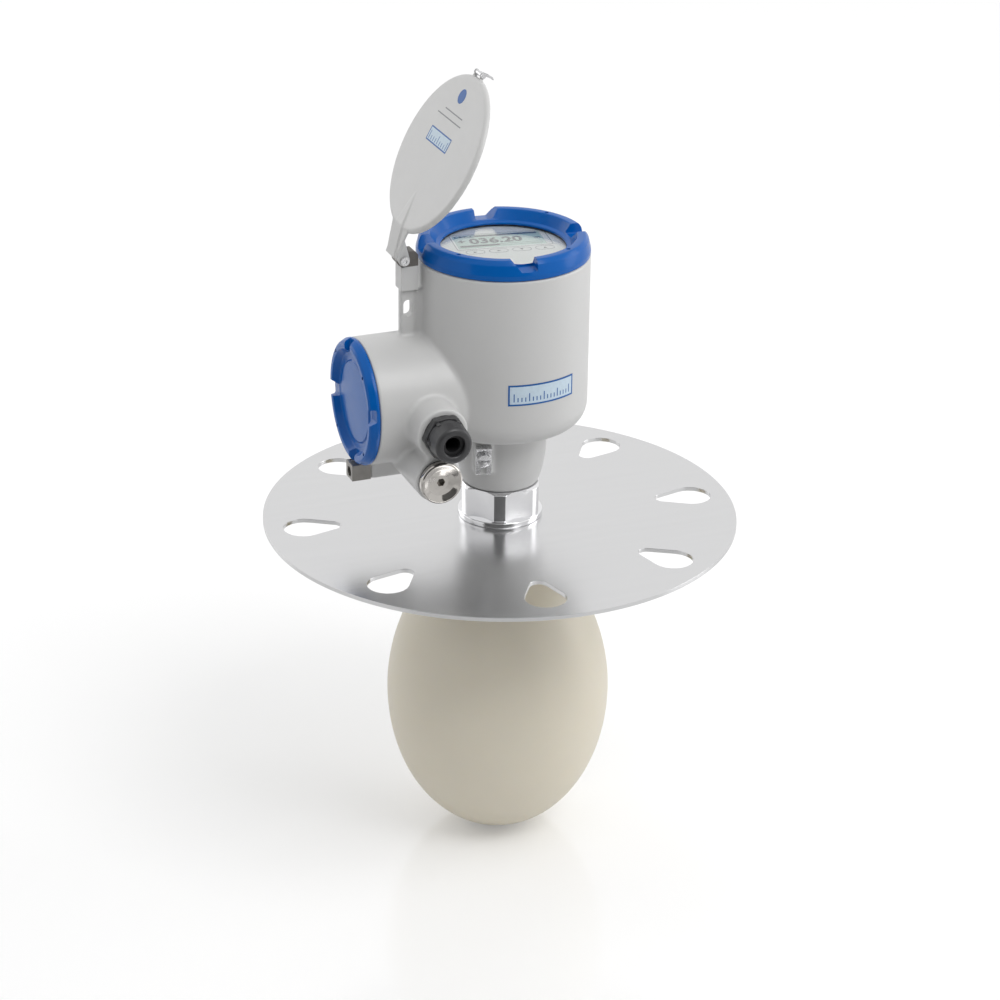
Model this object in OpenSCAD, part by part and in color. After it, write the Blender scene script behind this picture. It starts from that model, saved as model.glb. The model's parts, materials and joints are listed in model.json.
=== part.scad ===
// Radar level transmitter: a two-compartment housing on a slotted flange plate,
// with a solid drop-shaped antenna below and a hinged weather lid above.
// Millimetres. +Z runs up the housing, the front faces -Y, the terminal compartment
// points to -X. The origin is the centre of the flange plate's underside.

/* [Flange plate] */
// Outer diameter of the flange plate
plate_d = 285; // [272:1:310]
// Thickness of the flange plate
plate_t = 2.5; // [2.5:0.5:6]
// Number of bolt slots
slot_count = 8; // [4:1:12]
// Turn of the first slot from +X, degrees
slot_turn = -9; // [-22:1:22]
// Metal left between a slot and the plate's edge
slot_edge = 10.8; // [8:0.1:14]
// Radius of a slot's wide end
slot_wide_r = 12.2; // [10:0.1:12.5]
// Distance between the middles of a slot's two ends
slot_len = 17; // [12:0.5:22]
// Radius of a slot's narrow end
slot_narrow_r = 5.5; // [4:0.1:7]

/* [Antenna] */
// Largest diameter of the antenna drop
drop_d = 136.4; // [110:0.2:150]
// Depth of the largest diameter below the flange
drop_widest_at = 114.5; // [100:0.5:130]
// Height of the drop below its largest diameter
drop_nose_h = 93; // [70:1:115]
// Height of the shoulder above its largest diameter
drop_shoulder_h = 96; // [70:1:104]
// Roundness of the nose, 2 is an ellipse
drop_roundness = 2.05; // [1.9:0.05:2.6]
// Roundness of the shoulder, 2 is an ellipse
shoulder_roundness = 1.9; // [1.7:0.05:2.2]
// Radius of the antenna's stem
stem_r = 31; // [26:0.5:36]
// Radius of the antenna's own flange
antenna_flange_r = 46; // [42:0.5:54]
// Thickness of the antenna's own flange
antenna_flange_t = 7; // [5:0.5:12]
// Depth of the recess that centres the antenna in the plate
antenna_recess = 0.5; // [0.3:0.1:1]

/* [Process connection] */
// Width of the hexagon across its flats
hex_af = 46; // [44:0.5:50]
// Diameter to which the hexagon's corners are turned
hex_corner_d = 49.7; // [46.5:0.1:52]
// Turn of the hexagon, degrees
hex_turn = 8; // [-30:1:30]
// Height of the hexagon above its collar
hex_h = 19; // [12:0.5:26]
// Diameter of the collar under the hexagon
collar_d = 51; // [50:0.5:58]
// Thickness of the collar
collar_t = 3.4; // [2:0.1:6]
// Radius of the threaded stud under the plate
stud_r = 12; // [10:0.5:16]
// Length of the stud below the plate
stud_len = 26; // [16:1:36]
// Radius of the spigot inside the housing's neck
spigot_r = 16; // [13:0.5:18]
// Length of the spigot inside the housing's neck
spigot_len = 20; // [12:1:26]
// Radius of the waveguide through the connection
guide_r = 5; // [3:0.5:8]

/* [Housing] */
// Outside radius of the housing
body_r = 50.9; // [49:0.1:54]
// Height of the housing's top edge above the flange
body_top = 168.2; // [160:0.2:180]
// Wall of the main compartment
body_wall = 7; // [5:0.5:9]
// Height of the main compartment's floor
room_floor = 92; // [88:1:104]
// Radius of the rounded shoulder over the neck
shoulder_r = 14; // [8:0.5:20]
// Height of the shoulder's flat underside
shoulder_z = 64.2; // [58:0.2:68]
// Radius of the neck at its top
neck_top_r = 27.2; // [25:0.1:30]
// Radius of the neck where it meets the hexagon
neck_base_r = 22.4; // [20:0.1:24]
// Height over which the neck widens
neck_flare_h = 25.5; // [20:0.5:28]

/* [Display] */
// Width of the display cover's rim outside its threaded skirt
cover_rim_w = 5.5; // [5:0.1:6.5]
// Length of the threaded skirt of the display cover
cover_skirt_len = 10; // [8:0.5:12]
// Height of the display cover above the housing
cover_h = 11.3; // [10.5:0.1:14]
// Width of the display cover's face around the window
cover_face_w = 14.4; // [13.9:0.1:17]
// Depth of the window's face below the top of the cover
window_sink = 8; // [6:0.1:8.4]
// Thickness of the window
window_t = 2; // [1.6:0.1:3]
// Turn of the display, degrees
display_turn = -8; // [-20:1:20]
// Turn of the display cover, degrees
cover_turn = -4; // [-45:1:45]
// Height of the display bezel's lower barrel
bezel_h = 14; // [8:0.5:20]

// Width of the display panel
lcd_w = 52.4; // [40:0.2:54]
// Depth of the display panel
lcd_h = 22; // [16:0.5:24]
// Place of the display panel's middle along the bezel
lcd_x = 0.6; // [-1:0.1:1]
// Distance of the display panel's near edge from the axis
lcd_y = 2.1; // [0:0.1:3]

/* [Terminal compartment] */
// Height of the terminal tube's axis
tube_z = 87.2; // [84:0.2:92]
// Outside radius of the terminal tube
tube_r = 37.7; // [36:0.1:40]
// Reach of the terminal tube beyond the main compartment
tube_len = 37.9; // [35:0.1:46]
// Wall of the terminal compartment
tube_wall = 6.2; // [5:0.1:8]
// Distance of the terminal compartment's back wall beyond the main compartment
tube_back_at = 3.1; // [1.6:0.1:9]
// Width of the terminal cover's rim outside its threaded skirt
tcover_rim_w = 4.7; // [4.3:0.1:6]
// Length of the threaded skirt of the terminal cover
tcover_skirt_len = 8; // [6:0.5:10]
// Height of the terminal cover beyond the tube
tcover_h = 5.9; // [5:0.1:8]

// Length of the terminal block
strip_w = 40; // [32:1:44]
// Width of the terminal block
strip_h = 18; // [16:1:22]
// Height of the terminal block
strip_t = 12; // [10:0.5:14]
// Number of ways in the terminal block
way_count = 4; // [2:1:5]

/* [Cover lock] */
// Reach of the lock block beyond the tube's end
lock_out = 6.7; // [5.8:0.1:9]
// Setback of the rib's end face behind the tube's end
lock_back = 4.8; // [2.8:0.1:8.8]
// Width of the lock block and its rib
lock_w = 11; // [9:0.5:14]
// Height of the lock block
lock_h = 10; // [9:0.5:13]

/* [Earth terminal] */
// Turn of the earth terminal about the neck, degrees
pad_turn = -15; // [-20:1:-10]
// Place of the earth terminal's pad across its face
pad_x = -13.7; // [-14.5:0.1:-12.5]
// Width of the earth terminal's pad
pad_w = 10.6; // [10:0.2:12]
// Distance of the pad's face from the housing's axis
pad_face = 29; // [28:0.5:31]
// Height of the earth screw
earth_z = 51; // [50:0.5:52]
// Width of the clamp plate
clamp_w = 9.4; // [8.4:0.2:10.4]
// Thickness of the clamp plate
clamp_t = 1.5; // [1:0.1:2]
// Reach of the clamp plate above the screw
clamp_up = 8; // [7:0.5:9]
// Reach of the clamp plate below the screw
clamp_down = 10; // [8:0.5:11]
// Radius of the earth screw's thread
earth_screw_r = 2.5; // [2:0.1:2.5]

/* [Cable entries] */
// Distance of the upper entry beyond the main compartment's side
entry_upper_out = 6.6; // [4.1:0.1:8.1]
// Drop of the upper entry below the tube's axis
entry_upper_drop = 3.7; // [0.2:0.1:4.2]
// Distance of the lower entry beyond the main compartment's side
entry_lower_out = 9.1; // [6.1:0.1:10.1]
// Height of the lower entry above the tube's lowest line
entry_lower_rise = 6; // [4.5:0.1:6.5]
// Distance of the entry faces in front of the axis
entry_face = 55; // [52:0.5:62]
// Radius of the upper entry's boss
boss_upper_r = 15.5; // [14:0.1:17]
// Radius of the lower entry's boss
boss_lower_r = 13.9; // [13:0.1:15]
// Radius of the entry threads
entry_r = 10; // [8:0.1:10.5]
// Width of the gland's hexagon across its flats
gland_af = 24; // [22:0.5:27]
// Radius of the gland nut's mouth
gland_mouth_r = 6.4; // [5:0.1:7]
// Radius of the cable passage in the gland's seal
cable_r = 4.5; // [3:0.1:5.5]

/* [Weather lid] */
// Setback of the lid's edge inside the display cover's
lid_inset = 2.5; // [-1:0.1:3.9]
// Height of the closed lid's top over the display cover
lid_over = 3.3; // [2.8:0.1:8]
// Depth of the lid's turned edge
lid_depth = 3; // [2:0.1:3]
// Thickness of the lid
lid_wall = 1.4; // [1:0.1:1.6]
// Angle to which the lid stands open
lid_open = 61; // [0:1:100]
// Distance of the hinge beyond the main compartment's side
hinge_out = 12.3; // [12.1:0.1:17]
// Height of the hinge above the housing's top edge
hinge_rise = 4.4; // [2:0.1:5.8]
// Radius of the hinge pin
hinge_pin_r = 1.6; // [1.2:0.1:2]

/* [Clearances] */
// Gap between pieces that move past each other
gap = 0.3; // [0.25:0.05:0.5]
// Radial clearance of a shaft in its bore
fit = 0.05; // [0.02:0.01:0.1]
// Radius of the O-ring cord
ring_cord_r = 1.2; // [0.8:0.1:1.4]

/* [Hidden] */
$fn = 96;
// length of a cutter that runs out of the piece it cuts
through = 60;

// Flange and antenna
slot_wide_at = plate_d / 2 - slot_edge - slot_wide_r;
slot_narrow_at = slot_wide_at - slot_len;
plate_bore_r = stud_r + 1;
recess_r = antenna_flange_r + 0.2;
drop_r = drop_d / 2;
stem_fillet = 7;
nose_steps = 22;
shoulder_steps = 18;
// the part of the shoulder's height at which it has narrowed to the stem
shoulder_end = pow(1 - pow((stem_r + 1) / drop_r, shoulder_roundness), 1 / shoulder_roundness);
antenna_seal_r = (plate_bore_r + antenna_flange_r) / 2;
stud_bore_r = stud_r + fit;

// Process connection and neck
collar_z = plate_t;
hex_z = collar_z + collar_t;
neck_z = hex_z + hex_h;
spigot_bore_r = spigot_r + fit;
neck_top_z = neck_z + neck_flare_h;
// the neck's side is an arc that ends upright at the neck's top
flare_r = (pow(neck_flare_h, 2) + pow(neck_top_r - neck_base_r, 2))
    / (2 * (neck_top_r - neck_base_r));
neck_fillet = 3;

// Display cover
cover_skirt_r = body_r - cover_rim_w;
window_r = body_r - cover_face_w;
cover_z = body_top + gap;
cover_top = cover_z + cover_h;
window_top = cover_top - window_sink;
window_seat_r = window_r + 2.6;
gasket_t = 0.4;
retainer_h = 3.8;
skirt_inner_r = cover_skirt_r - 5.2;
room_r = body_r - body_wall;
cover_bore_r = cover_skirt_r + gap;
cover_ring_z = cover_z - 2 * gap - 2 * ring_cord_r;
cover_ring_r = cover_skirt_r + gap + ring_cord_r;
bezel_r = skirt_inner_r - gap - 0.2;
bezel_head_r = window_r + 0.5;
bezel_top = window_top - window_t - 0.3;
bezel_step_z = window_top - window_t - retainer_h - 0.4;
bezel_z = bezel_step_z - bezel_h;
unit_gap = 1.6;
notch_count = 4;
lcd_t = 2;

// Terminal compartment
tube_end = body_r + tube_len;
tube_back = body_r + tube_back_at;
tcover_skirt_r = tube_r - tcover_rim_w;
tube_room_r = tube_r - tube_wall;
tcover_bore_r = tcover_skirt_r + gap;
tcover_at = tube_end + gap;
tcover_ring_at = tcover_at - 2 * gap - 2 * ring_cord_r;
tcover_ring_r = tcover_skirt_r + gap + ring_cord_r;

// Cover lock
lock_x0 = tube_end + lock_out;
lock_x1 = tube_end - lock_back;
lock_z1 = tube_z - tube_r - 0.5;
lock_z0 = lock_z1 - lock_h;
lock_screw_r = 1.5;

// Earth terminal
pad_z0 = earth_z - clamp_down - 1.5;
pad_z1 = earth_z + clamp_up + 1.5;

// Cable entries
entry_upper = [-body_r - entry_upper_out, tube_z - entry_upper_drop];
entry_lower = [-body_r - entry_lower_out, tube_z - tube_r + entry_lower_rise];
washer_t = 1;
gland_hex_t = 5;
gland_collar_r = 9.4;
gland_collar_len = 9;
nut_at = entry_face + washer_t + gland_hex_t + gap;
nut_len = 12.4;
nut_r = 11.6;
nut_face_r = 9.7;
seal_r = 7;
plug_socket_af = 4.5;

// Weather lid
lid_r = body_r - lid_inset;
lid_top = cover_top + lid_over;
hinge_x = body_r + hinge_out;
hinge_z = body_top + hinge_rise;
lid_lip_z = lid_top - lid_depth;
lid_round = lid_depth - 0.5;
cheek_y = 5;
cheek_t = 1.5;
tongue_w0 = 15;
tongue_w1 = 25;
tongue_reach = 18;
tongue_z0 = hinge_z + 6.6;
bead_w0 = 2 * (cheek_y + cheek_t);
bead_w1 = 10.4;
bead_tip_x = 25;
bead_rise = 0.9;
knuckle_r = 4;
block_w = 2 * (cheek_y - gap);
block_x1 = hinge_x - 9;
block_top = hinge_z + 4.5;
block_z = hinge_z - 4.5;
saddle_h = 14.5;
saddle_z = block_z - saddle_h;
saddle_w = 10.4;
saddle_x0 = hinge_x + 1.5;
saddle_x1 = block_x1;
lug_w = 5.5;
lug_tongue_w = 4;
lug_x0 = hinge_x + 1;
lug_x1 = saddle_x1 + 1.2;
eye_w = 5.6;
eye_h = 10.2;
eye_x = (lug_x0 + lug_x1) / 2;
eye_z = (tube_z + tube_r + saddle_z) / 2 + 2.8;
latch_hub_r = 1.3;
latch_pin_r = 0.6;
latch_x = lid_r + latch_hub_r + 1;
latch_z = lid_lip_z + 1.2;
latch_w = 7;

// ---------------------------------------------------------------- helpers

// Points of an arc about [cx, cy] from angle a0 to a1
function arc(cx, cy, r, a0, a1, n) =
    [for (i = [0:n]) let (a = a0 + (a1 - a0) * i / n) [cx + r * cos(a), cy + r * sin(a)]];

module ring(r_out, r_in, z0, z1) {
    difference() {
        translate([0, 0, z0])
            cylinder(r = r_out, h = z1 - z0);
        translate([0, 0, z0 - 1])
            cylinder(r = r_in, h = z1 - z0 + 2);
    }
}

module o_ring(r, cord_r) {
    rotate_extrude()
        translate([r, 0])
            circle(r = cord_r, $fn = 24);
}

module hex_prism(af, h) {
    cylinder(d = af / cos(30), h = h, $fn = 6);
}

// A frame whose +Z runs out of the terminal compartment, along -X
module at_tube() {
    translate([0, 0, tube_z])
        rotate([0, -90, 0])
            children();
}

// A frame whose +Z runs out of a cable entry, along -Y
module at_entry(place) {
    translate([place[0], 0, place[1]])
        rotate([90, 0, 0])
            children();
}

// The lid's own frame is its closed place; this swings it open about the hinge
module lid_swing() {
    translate([-hinge_x, 0, hinge_z])
        rotate([0, -lid_open, 0])
            translate([hinge_x, 0, -hinge_z])
                children();
}

// Cutters for a cover's notches: one steep side and one ramp in each
module cover_notches(r_in, r_out, z0, z1, floor_w, ramp) {
    for (i = [0:notch_count - 1])
        rotate([0, 0, i * 360 / notch_count])
            translate([r_in, 0, 0])
                rotate([90, 0, 90])
                    linear_extrude(height = r_out - r_in)
                        polygon([
                            [-floor_w / 2, z0],
                            [floor_w / 2, z0],
                            [floor_w / 2, z1],
                            [-floor_w / 2 - ramp, z1]
                        ]);
}

// ---------------------------------------------------------------- flange plate

// A slot that narrows towards the axis, so bolts of two circles fit
module slot_outline() {
    lean = (slot_wide_r - slot_narrow_r) / (slot_wide_at - slot_narrow_at);
    rise = sqrt(1 - lean * lean);
    union() {
        translate([slot_wide_at, 0])
            circle(r = slot_wide_r);
        translate([slot_narrow_at, 0])
            circle(r = slot_narrow_r);
        polygon([
            [slot_wide_at - slot_wide_r * lean, slot_wide_r * rise],
            [slot_narrow_at - slot_narrow_r * lean, slot_narrow_r * rise],
            [slot_narrow_at - slot_narrow_r * lean, -slot_narrow_r * rise],
            [slot_wide_at - slot_wide_r * lean, -slot_wide_r * rise]
        ]);
    }
}

module flange_plate() {
    color("silver")
        difference() {
            cylinder(d = plate_d, h = plate_t);
            translate([0, 0, -1])
                cylinder(r = plate_bore_r, h = plate_t + 2);
            translate([0, 0, -1])
                cylinder(r = recess_r, h = 1 + antenna_recess);
            for (i = [0:slot_count - 1])
                rotate([0, 0, slot_turn + i * 360 / slot_count])
                    translate([0, 0, -1])
                        linear_extrude(height = plate_t + 2)
                            slot_outline();
        }
}

// ---------------------------------------------------------------- antenna

function nose_point(i) =
    let (t = sin(90 * i / nose_steps))
    [drop_r * pow(max(0, 1 - pow(t, drop_roundness)), 1 / drop_roundness),
     -drop_widest_at - drop_nose_h * t];

function shoulder_point(i) =
    let (t = shoulder_end * i / shoulder_steps)
    [drop_r * pow(1 - pow(t, shoulder_roundness), 1 / shoulder_roundness),
     -drop_widest_at + drop_shoulder_h * t];

module antenna_drop() {
    flange_z = antenna_recess - antenna_flange_t;
    color("ivory")
        difference() {
            rotate_extrude()
                polygon(concat(
                    [[0, antenna_recess]],
                    [[antenna_flange_r - 0.8, antenna_recess]],
                    [[antenna_flange_r, antenna_recess - 0.8]],
                    [[antenna_flange_r, flange_z + 1]],
                    [[antenna_flange_r - 1, flange_z]],
                    arc(stem_r + stem_fillet, flange_z - stem_fillet, stem_fillet, 90, 180, 6),
                    [for (i = [shoulder_steps:-1:0]) shoulder_point(i)],
                    [for (i = [1:nose_steps]) nose_point(i)]
                ));
            // blind thread for the process connection's stud
            translate([0, 0, plate_t - stud_len - 4])
                cylinder(r = stud_bore_r, h = stud_len + 6);
            // groove for the seal under the plate
            translate([0, 0, antenna_recess - 2.1 * ring_cord_r])
                ring(antenna_seal_r + 1.15 * ring_cord_r, antenna_seal_r - 1.15 * ring_cord_r, 0, 9);
        }
}

module antenna_seal() {
    color("dimgray")
        translate([0, 0, antenna_recess - 1.06 * ring_cord_r])
            o_ring(antenna_seal_r, ring_cord_r);
}

// ---------------------------------------------------------------- process connection

module process_connection() {
    color("gainsboro")
        difference() {
            union() {
                translate([0, 0, plate_t - stud_len])
                    cylinder(r = stud_r, h = stud_len + 1);
                translate([0, 0, collar_z])
                    cylinder(d = collar_d, h = collar_t);
                intersection() {
                    translate([0, 0, hex_z - 1])
                        rotate([0, 0, hex_turn])
                            hex_prism(hex_af, hex_h + 1);
                    translate([0, 0, hex_z - 1])
                        cylinder(d = hex_corner_d, h = hex_h + 1);
                }
                translate([0, 0, neck_z - 1])
                    cylinder(r = spigot_r, h = spigot_len + 1);
            }
            translate([0, 0, -plate_t - stud_len - 30])
                cylinder(r = guide_r + fit, h = 200);
            // groove for the seal in the neck
            translate([0, 0, neck_z + spigot_len / 2])
                ring(spigot_r + 1, spigot_r - 2 * ring_cord_r - 0.1, -1.3 * ring_cord_r, 1.3 * ring_cord_r);
        }
}

module connection_seal() {
    color("dimgray")
        translate([0, 0, neck_z + spigot_len / 2])
            o_ring(spigot_r - ring_cord_r - 0.05, ring_cord_r);
}

module waveguide_rod() {
    color("white")
        translate([0, 0, plate_t - stud_len - 2])
            cylinder(r = guide_r, h = stud_len - plate_t + 2 + neck_z + spigot_len - 2);
}

// ---------------------------------------------------------------- housing

module housing_outline() {
    polygon(concat(
        [[spigot_bore_r, neck_z]],
        arc(neck_top_r - flare_r, neck_top_z, flare_r, -asin(neck_flare_h / flare_r), 0, 8),
        arc(neck_top_r + neck_fillet, shoulder_z - neck_fillet, neck_fillet, 180, 90, 5),
        arc(body_r - shoulder_r, shoulder_z + shoulder_r, shoulder_r, -90, 0, 14),
        [[body_r, body_top - 0.8]],
        [[body_r - 0.8, body_top]],
        [[cover_ring_r + ring_cord_r + gap, body_top]],
        [[cover_ring_r + ring_cord_r + gap, cover_ring_z]],
        [[cover_bore_r, cover_ring_z]],
        [[cover_bore_r, cover_z - cover_skirt_len - 1]],
        [[room_r, cover_z - cover_skirt_len - 2.5]],
        [[room_r, room_floor]],
        [[guide_r + 2, room_floor]],
        [[guide_r + 2, neck_z + spigot_len + 1]],
        [[spigot_bore_r, neck_z + spigot_len + 1]]
    ));
}

// A frame whose +Z runs out of the earth terminal's pad
module at_earth() {
    rotate([0, 0, pad_turn])
        translate([pad_x, 0, earth_z])
            rotate([90, 0, 0])
                children();
}

// A frame on the rib's end face whose +Z runs out along -X
module at_lock_screw() {
    translate([-lock_x1, 0, (lock_z0 + lock_z1) / 2 - 0.6])
        rotate([0, -90, 0])
            children();
}

module housing() {
    color("gainsboro")
        difference() {
            union() {
                rotate_extrude()
                    housing_outline();
                // terminal tube, with a domed root and a rounded mouth edge
                difference() {
                    at_tube()
                        rotate_extrude()
                            polygon(concat(
                                [for (i = [0:10]) [tube_r * sin(i * 9), body_r - 8.9 - 30 * cos(i * 9)]],
                                [[tube_r, tube_end - 0.6]],
                                [[tube_r - 0.6, tube_end]],
                                [[0, tube_end]]
                            ));
                    translate([0, 0, room_floor])
                        cylinder(r = room_r, h = through);
                }
                // cable entry bosses
                at_entry(entry_upper)
                    entry_boss(boss_upper_r);
                at_entry(entry_lower)
                    entry_boss(boss_lower_r);
                // pad of the earth terminal
                rotate([0, 0, pad_turn])
                    translate([pad_x - pad_w / 2, -pad_face, pad_z0])
                        cube([pad_w, pad_face - 14, pad_z1 - pad_z0]);
                // rib that carries the cover lock
                translate([-lock_x1, -lock_w / 2, lock_z0])
                    cube([lock_x1 - body_r - 7.1, lock_w, tube_z - tube_r + 3 - lock_z0]);
                lid_lug();
            }
            // terminal compartment and the mouth for its cover
            at_tube()
                translate([0, 0, tube_back])
                    cylinder(r = tube_room_r, h = through);
            at_tube()
                translate([0, 0, tcover_at - tcover_skirt_len - 1])
                    cylinder(r = tcover_bore_r, h = through);
            at_tube()
                translate([0, 0, tcover_ring_at])
                    cylinder(r = tcover_ring_r + ring_cord_r + gap, h = through);
            // cable entry threads
            at_entry(entry_upper)
                translate([0, 0, 22])
                    cylinder(r = entry_r, h = through);
            at_entry(entry_lower)
                translate([0, 0, 14])
                    cylinder(r = entry_r, h = through);
            // cable duct between the compartments
            translate([-room_r + 1, 0, tube_z + 12])
                rotate([0, -90, 0])
                    cylinder(r = 4, h = 30);
            // blind threads of the earth screw and the lock screw
            at_earth()
                translate([0, 0, pad_face - 9])
                    cylinder(r = earth_screw_r + fit, h = 30);
            at_lock_screw()
                translate([0, 0, -8])
                    cylinder(r = lock_screw_r + fit, h = 20);
        }
}

// A boss with a domed back, so it runs smoothly into the tube
module entry_boss(r) {
    rotate_extrude()
        polygon(concat(
            [for (i = [0:8]) [r * sin(i * 90 / 8), r - r * cos(i * 90 / 8)]],
            [[r, entry_face - 1]],
            [[r - 1, entry_face]],
            [[0, entry_face]]
        ));
}

// The lug that carries the weather lid stands on the tube beside the housing
module lid_lug() {
    difference() {
        union() {
            translate([-lug_x0, -lug_w / 2, tube_z + tube_r - 4])
                cube([lug_x0 - lug_x1, lug_w, saddle_z - tube_z - tube_r + 4]);
            translate([-lug_x0 + 2, -lug_tongue_w / 2, saddle_z - 1])
                cube([lug_x0 - lug_x1 - 2, lug_tongue_w, saddle_h - 1]);
            // web to the housing's wall
            translate([-lug_x1 - 1, -1.6, tube_z + tube_r - 4])
                cube([lug_x1 + 2 - body_r, 3.2, saddle_z - tube_z - tube_r + 2]);
        }
        // eye for a tag wire
        translate([-eye_x, lug_w, eye_z])
            rotate([90, 0, 0])
                linear_extrude(height = 2 * lug_w)
                    union() {
                        for (z = [-1, 1])
                            translate([0, z * (eye_h - eye_w) / 2])
                                circle(d = eye_w);
                        square([eye_w, eye_h - eye_w], center = true);
                    }
    }
}

// ---------------------------------------------------------------- inside the housing

module electronics_unit() {
    r = room_r - 0.4;
    color("dimgray")
        difference() {
            union() {
                translate([0, 0, room_floor])
                    cylinder(r = r, h = bezel_z - unit_gap - room_floor);
                // pillars under the display bezel
                for (a = [45:90:315])
                    rotate([0, 0, a])
                        translate([r - 10, 0, bezel_z - unit_gap - 1])
                            cylinder(r = 3, h = unit_gap + 1, $fn = 24);
            }
            // grip recesses at the rim
            for (a = [0, 180])
                rotate([0, 0, a])
                    translate([r, 0, bezel_z - unit_gap - 8])
                        cylinder(r = 7, h = 20);
        }
}

module display_bezel() {
    color("gainsboro")
        rotate([0, 0, display_turn])
            difference() {
                union() {
                    translate([0, 0, bezel_z])
                        cylinder(r = bezel_r, h = bezel_h);
                    translate([0, 0, bezel_step_z - 1])
                        cylinder(r = bezel_head_r, h = bezel_top - bezel_step_z + 1);
                }
                // pocket for the panel
                translate([lcd_x - lcd_w / 2 - 0.1, lcd_y - 0.1, bezel_top - lcd_t])
                    cube([lcd_w + 0.2, lcd_h + 0.2, 10]);
            }
}

module lcd_panel() {
    color("darkseagreen")
        rotate([0, 0, display_turn])
            translate([lcd_x - lcd_w / 2, lcd_y, bezel_top - lcd_t])
                cube([lcd_w, lcd_h, lcd_t - 0.2]);
}

// ---------------------------------------------------------------- display cover

module display_cover() {
    color("royalblue")
        rotate([0, 0, cover_turn])
            difference() {
                rotate_extrude()
                    polygon([
                        [cover_skirt_r, cover_z],
                        [body_r, cover_z],
                        [body_r, cover_z + 2.6],
                        [body_r - 0.5, cover_z + 6],
                        [body_r - 1.5, cover_z + cover_h - 2.6],
                        [body_r - 3, cover_z + cover_h - 0.7],
                        [body_r - 4.4, cover_top],
                        [body_r - 7.6, cover_top],
                        [body_r - 8.6, cover_top - 0.9],
                        [window_r + 2.6, window_top + gasket_t + 1.9],
                        [window_r + 0.8, window_top + gasket_t + 1.5],
                        [window_r, window_top + gasket_t + 0.9],
                        [window_r, window_top + gasket_t],
                        [window_seat_r, window_top + gasket_t],
                        [window_seat_r, window_top - window_t - retainer_h],
                        [skirt_inner_r, window_top - window_t - retainer_h - 0.5],
                        [skirt_inner_r, cover_z - cover_skirt_len],
                        [cover_skirt_r - 0.8, cover_z - cover_skirt_len],
                        [cover_skirt_r, cover_z - cover_skirt_len + 0.8]
                    ]);
                cover_notches(window_r + 3, body_r + 2, cover_top - 6.4, cover_top + 2, 9.5, 6.5);
                // spanner holes between the notches
                for (i = [0:notch_count - 1])
                    rotate([0, 0, (i + 0.42) * 360 / notch_count])
                        translate([body_r - 6, 0, cover_top - 2.4])
                            cylinder(r = 1.2, h = 5, $fn = 24);
            }
}

module cover_window() {
    color([0.85, 0.92, 0.95, 0.4])
        translate([0, 0, window_top - window_t])
            cylinder(r = window_seat_r - 0.1, h = window_t);
}

module window_gasket() {
    color("dimgray")
        ring(window_seat_r - 0.1, window_r + 0.1, window_top, window_top + gasket_t);
}

module window_retainer() {
    z1 = window_top - window_t;
    color("silver")
        difference() {
            ring(window_seat_r - 0.05, window_r + 0.9, z1 - retainer_h, z1);
            // slots for the ring's key
            for (a = [0, 180])
                rotate([0, 0, a])
                    translate([window_r, -1.5, z1 - retainer_h - 1])
                        cube([3, 3, 2.4]);
        }
}

module display_cover_seal() {
    color("dimgray")
        translate([0, 0, cover_ring_z + gap + ring_cord_r])
            o_ring(cover_ring_r, ring_cord_r);
}

// ---------------------------------------------------------------- terminal compartment

module terminal_cover() {
    t0 = tcover_at;
    t1 = tcover_at + tcover_h;
    color("royalblue")
        at_tube()
            rotate([0, 0, 8])
                difference() {
                    rotate_extrude()
                        polygon([
                            [0, t0 - 1.4],
                            [tcover_skirt_r - 4, t0 - 1.4],
                            [tcover_skirt_r - 4, t0 - tcover_skirt_len],
                            [tcover_skirt_r - 0.8, t0 - tcover_skirt_len],
                            [tcover_skirt_r, t0 - tcover_skirt_len + 0.8],
                            [tcover_skirt_r, t0],
                            [tube_r, t0],
                            [tube_r, t0 + 1.6],
                            [tube_r - 0.5, t1 - 2.4],
                            [tube_r - 1.6, t1 - 0.7],
                            [tube_r - 3, t1],
                            [tube_r - 6, t1],
                            [tube_r - 7, t1 - 0.8],
                            [tube_r - 8.5, t0 + 2.2],
                            [tube_r - 9.5, t0 + 1.8],
                            [tube_r - 13, t0 + 1.8],
                            [tube_r - 14, t0 + 2.6],
                            [0, t0 + 2.6]
                        ]);
                    cover_notches(tube_r - 8.6, tube_r + 2, t1 - 3.9, t1 + 2, 7, 4);
                    for (i = [0:notch_count - 1])
                        rotate([0, 0, (i + 0.42) * 360 / notch_count])
                            translate([tube_r - 4.4, 0, t1 - 2])
                                cylinder(r = 1.1, h = 5, $fn = 24);
                }
}

module terminal_cover_seal() {
    color("dimgray")
        at_tube()
            translate([0, 0, tcover_ring_at + gap + ring_cord_r])
                o_ring(tcover_ring_r, ring_cord_r);
}

module terminal_block() {
    color("darkgreen")
        at_tube()
            difference() {
                union() {
                    translate([-strip_h / 2 - 6, -strip_w / 2, tube_back])
                        cube([strip_h + 12, strip_w, 3]);
                    translate([-strip_h / 2, -strip_w / 2, tube_back + 2])
                        cube([strip_h, strip_w, strip_t - 2]);
                }
                for (i = [0:way_count - 1])
                    translate([0, (i - (way_count - 1) / 2) * strip_w / way_count, tube_back + 3]) {
                        // screw well and wire mouth of one way
                        translate([-3, 0, 0])
                            cylinder(r = 2.6, h = 30);
                        translate([3, -2.5, strip_t - 8])
                            cube([12, 5, 3.4]);
                    }
            }
}

module terminal_screws() {
    color("silver")
        at_tube()
            for (i = [0:way_count - 1])
                translate([-3, (i - (way_count - 1) / 2) * strip_w / way_count, tube_back + 3])
                    difference() {
                        cylinder(r = 2.5, h = 6);
                        translate([-4, -0.4, 5])
                            cube([8, 0.8, 3]);
                    }
}

// ---------------------------------------------------------------- cable entries

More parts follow.
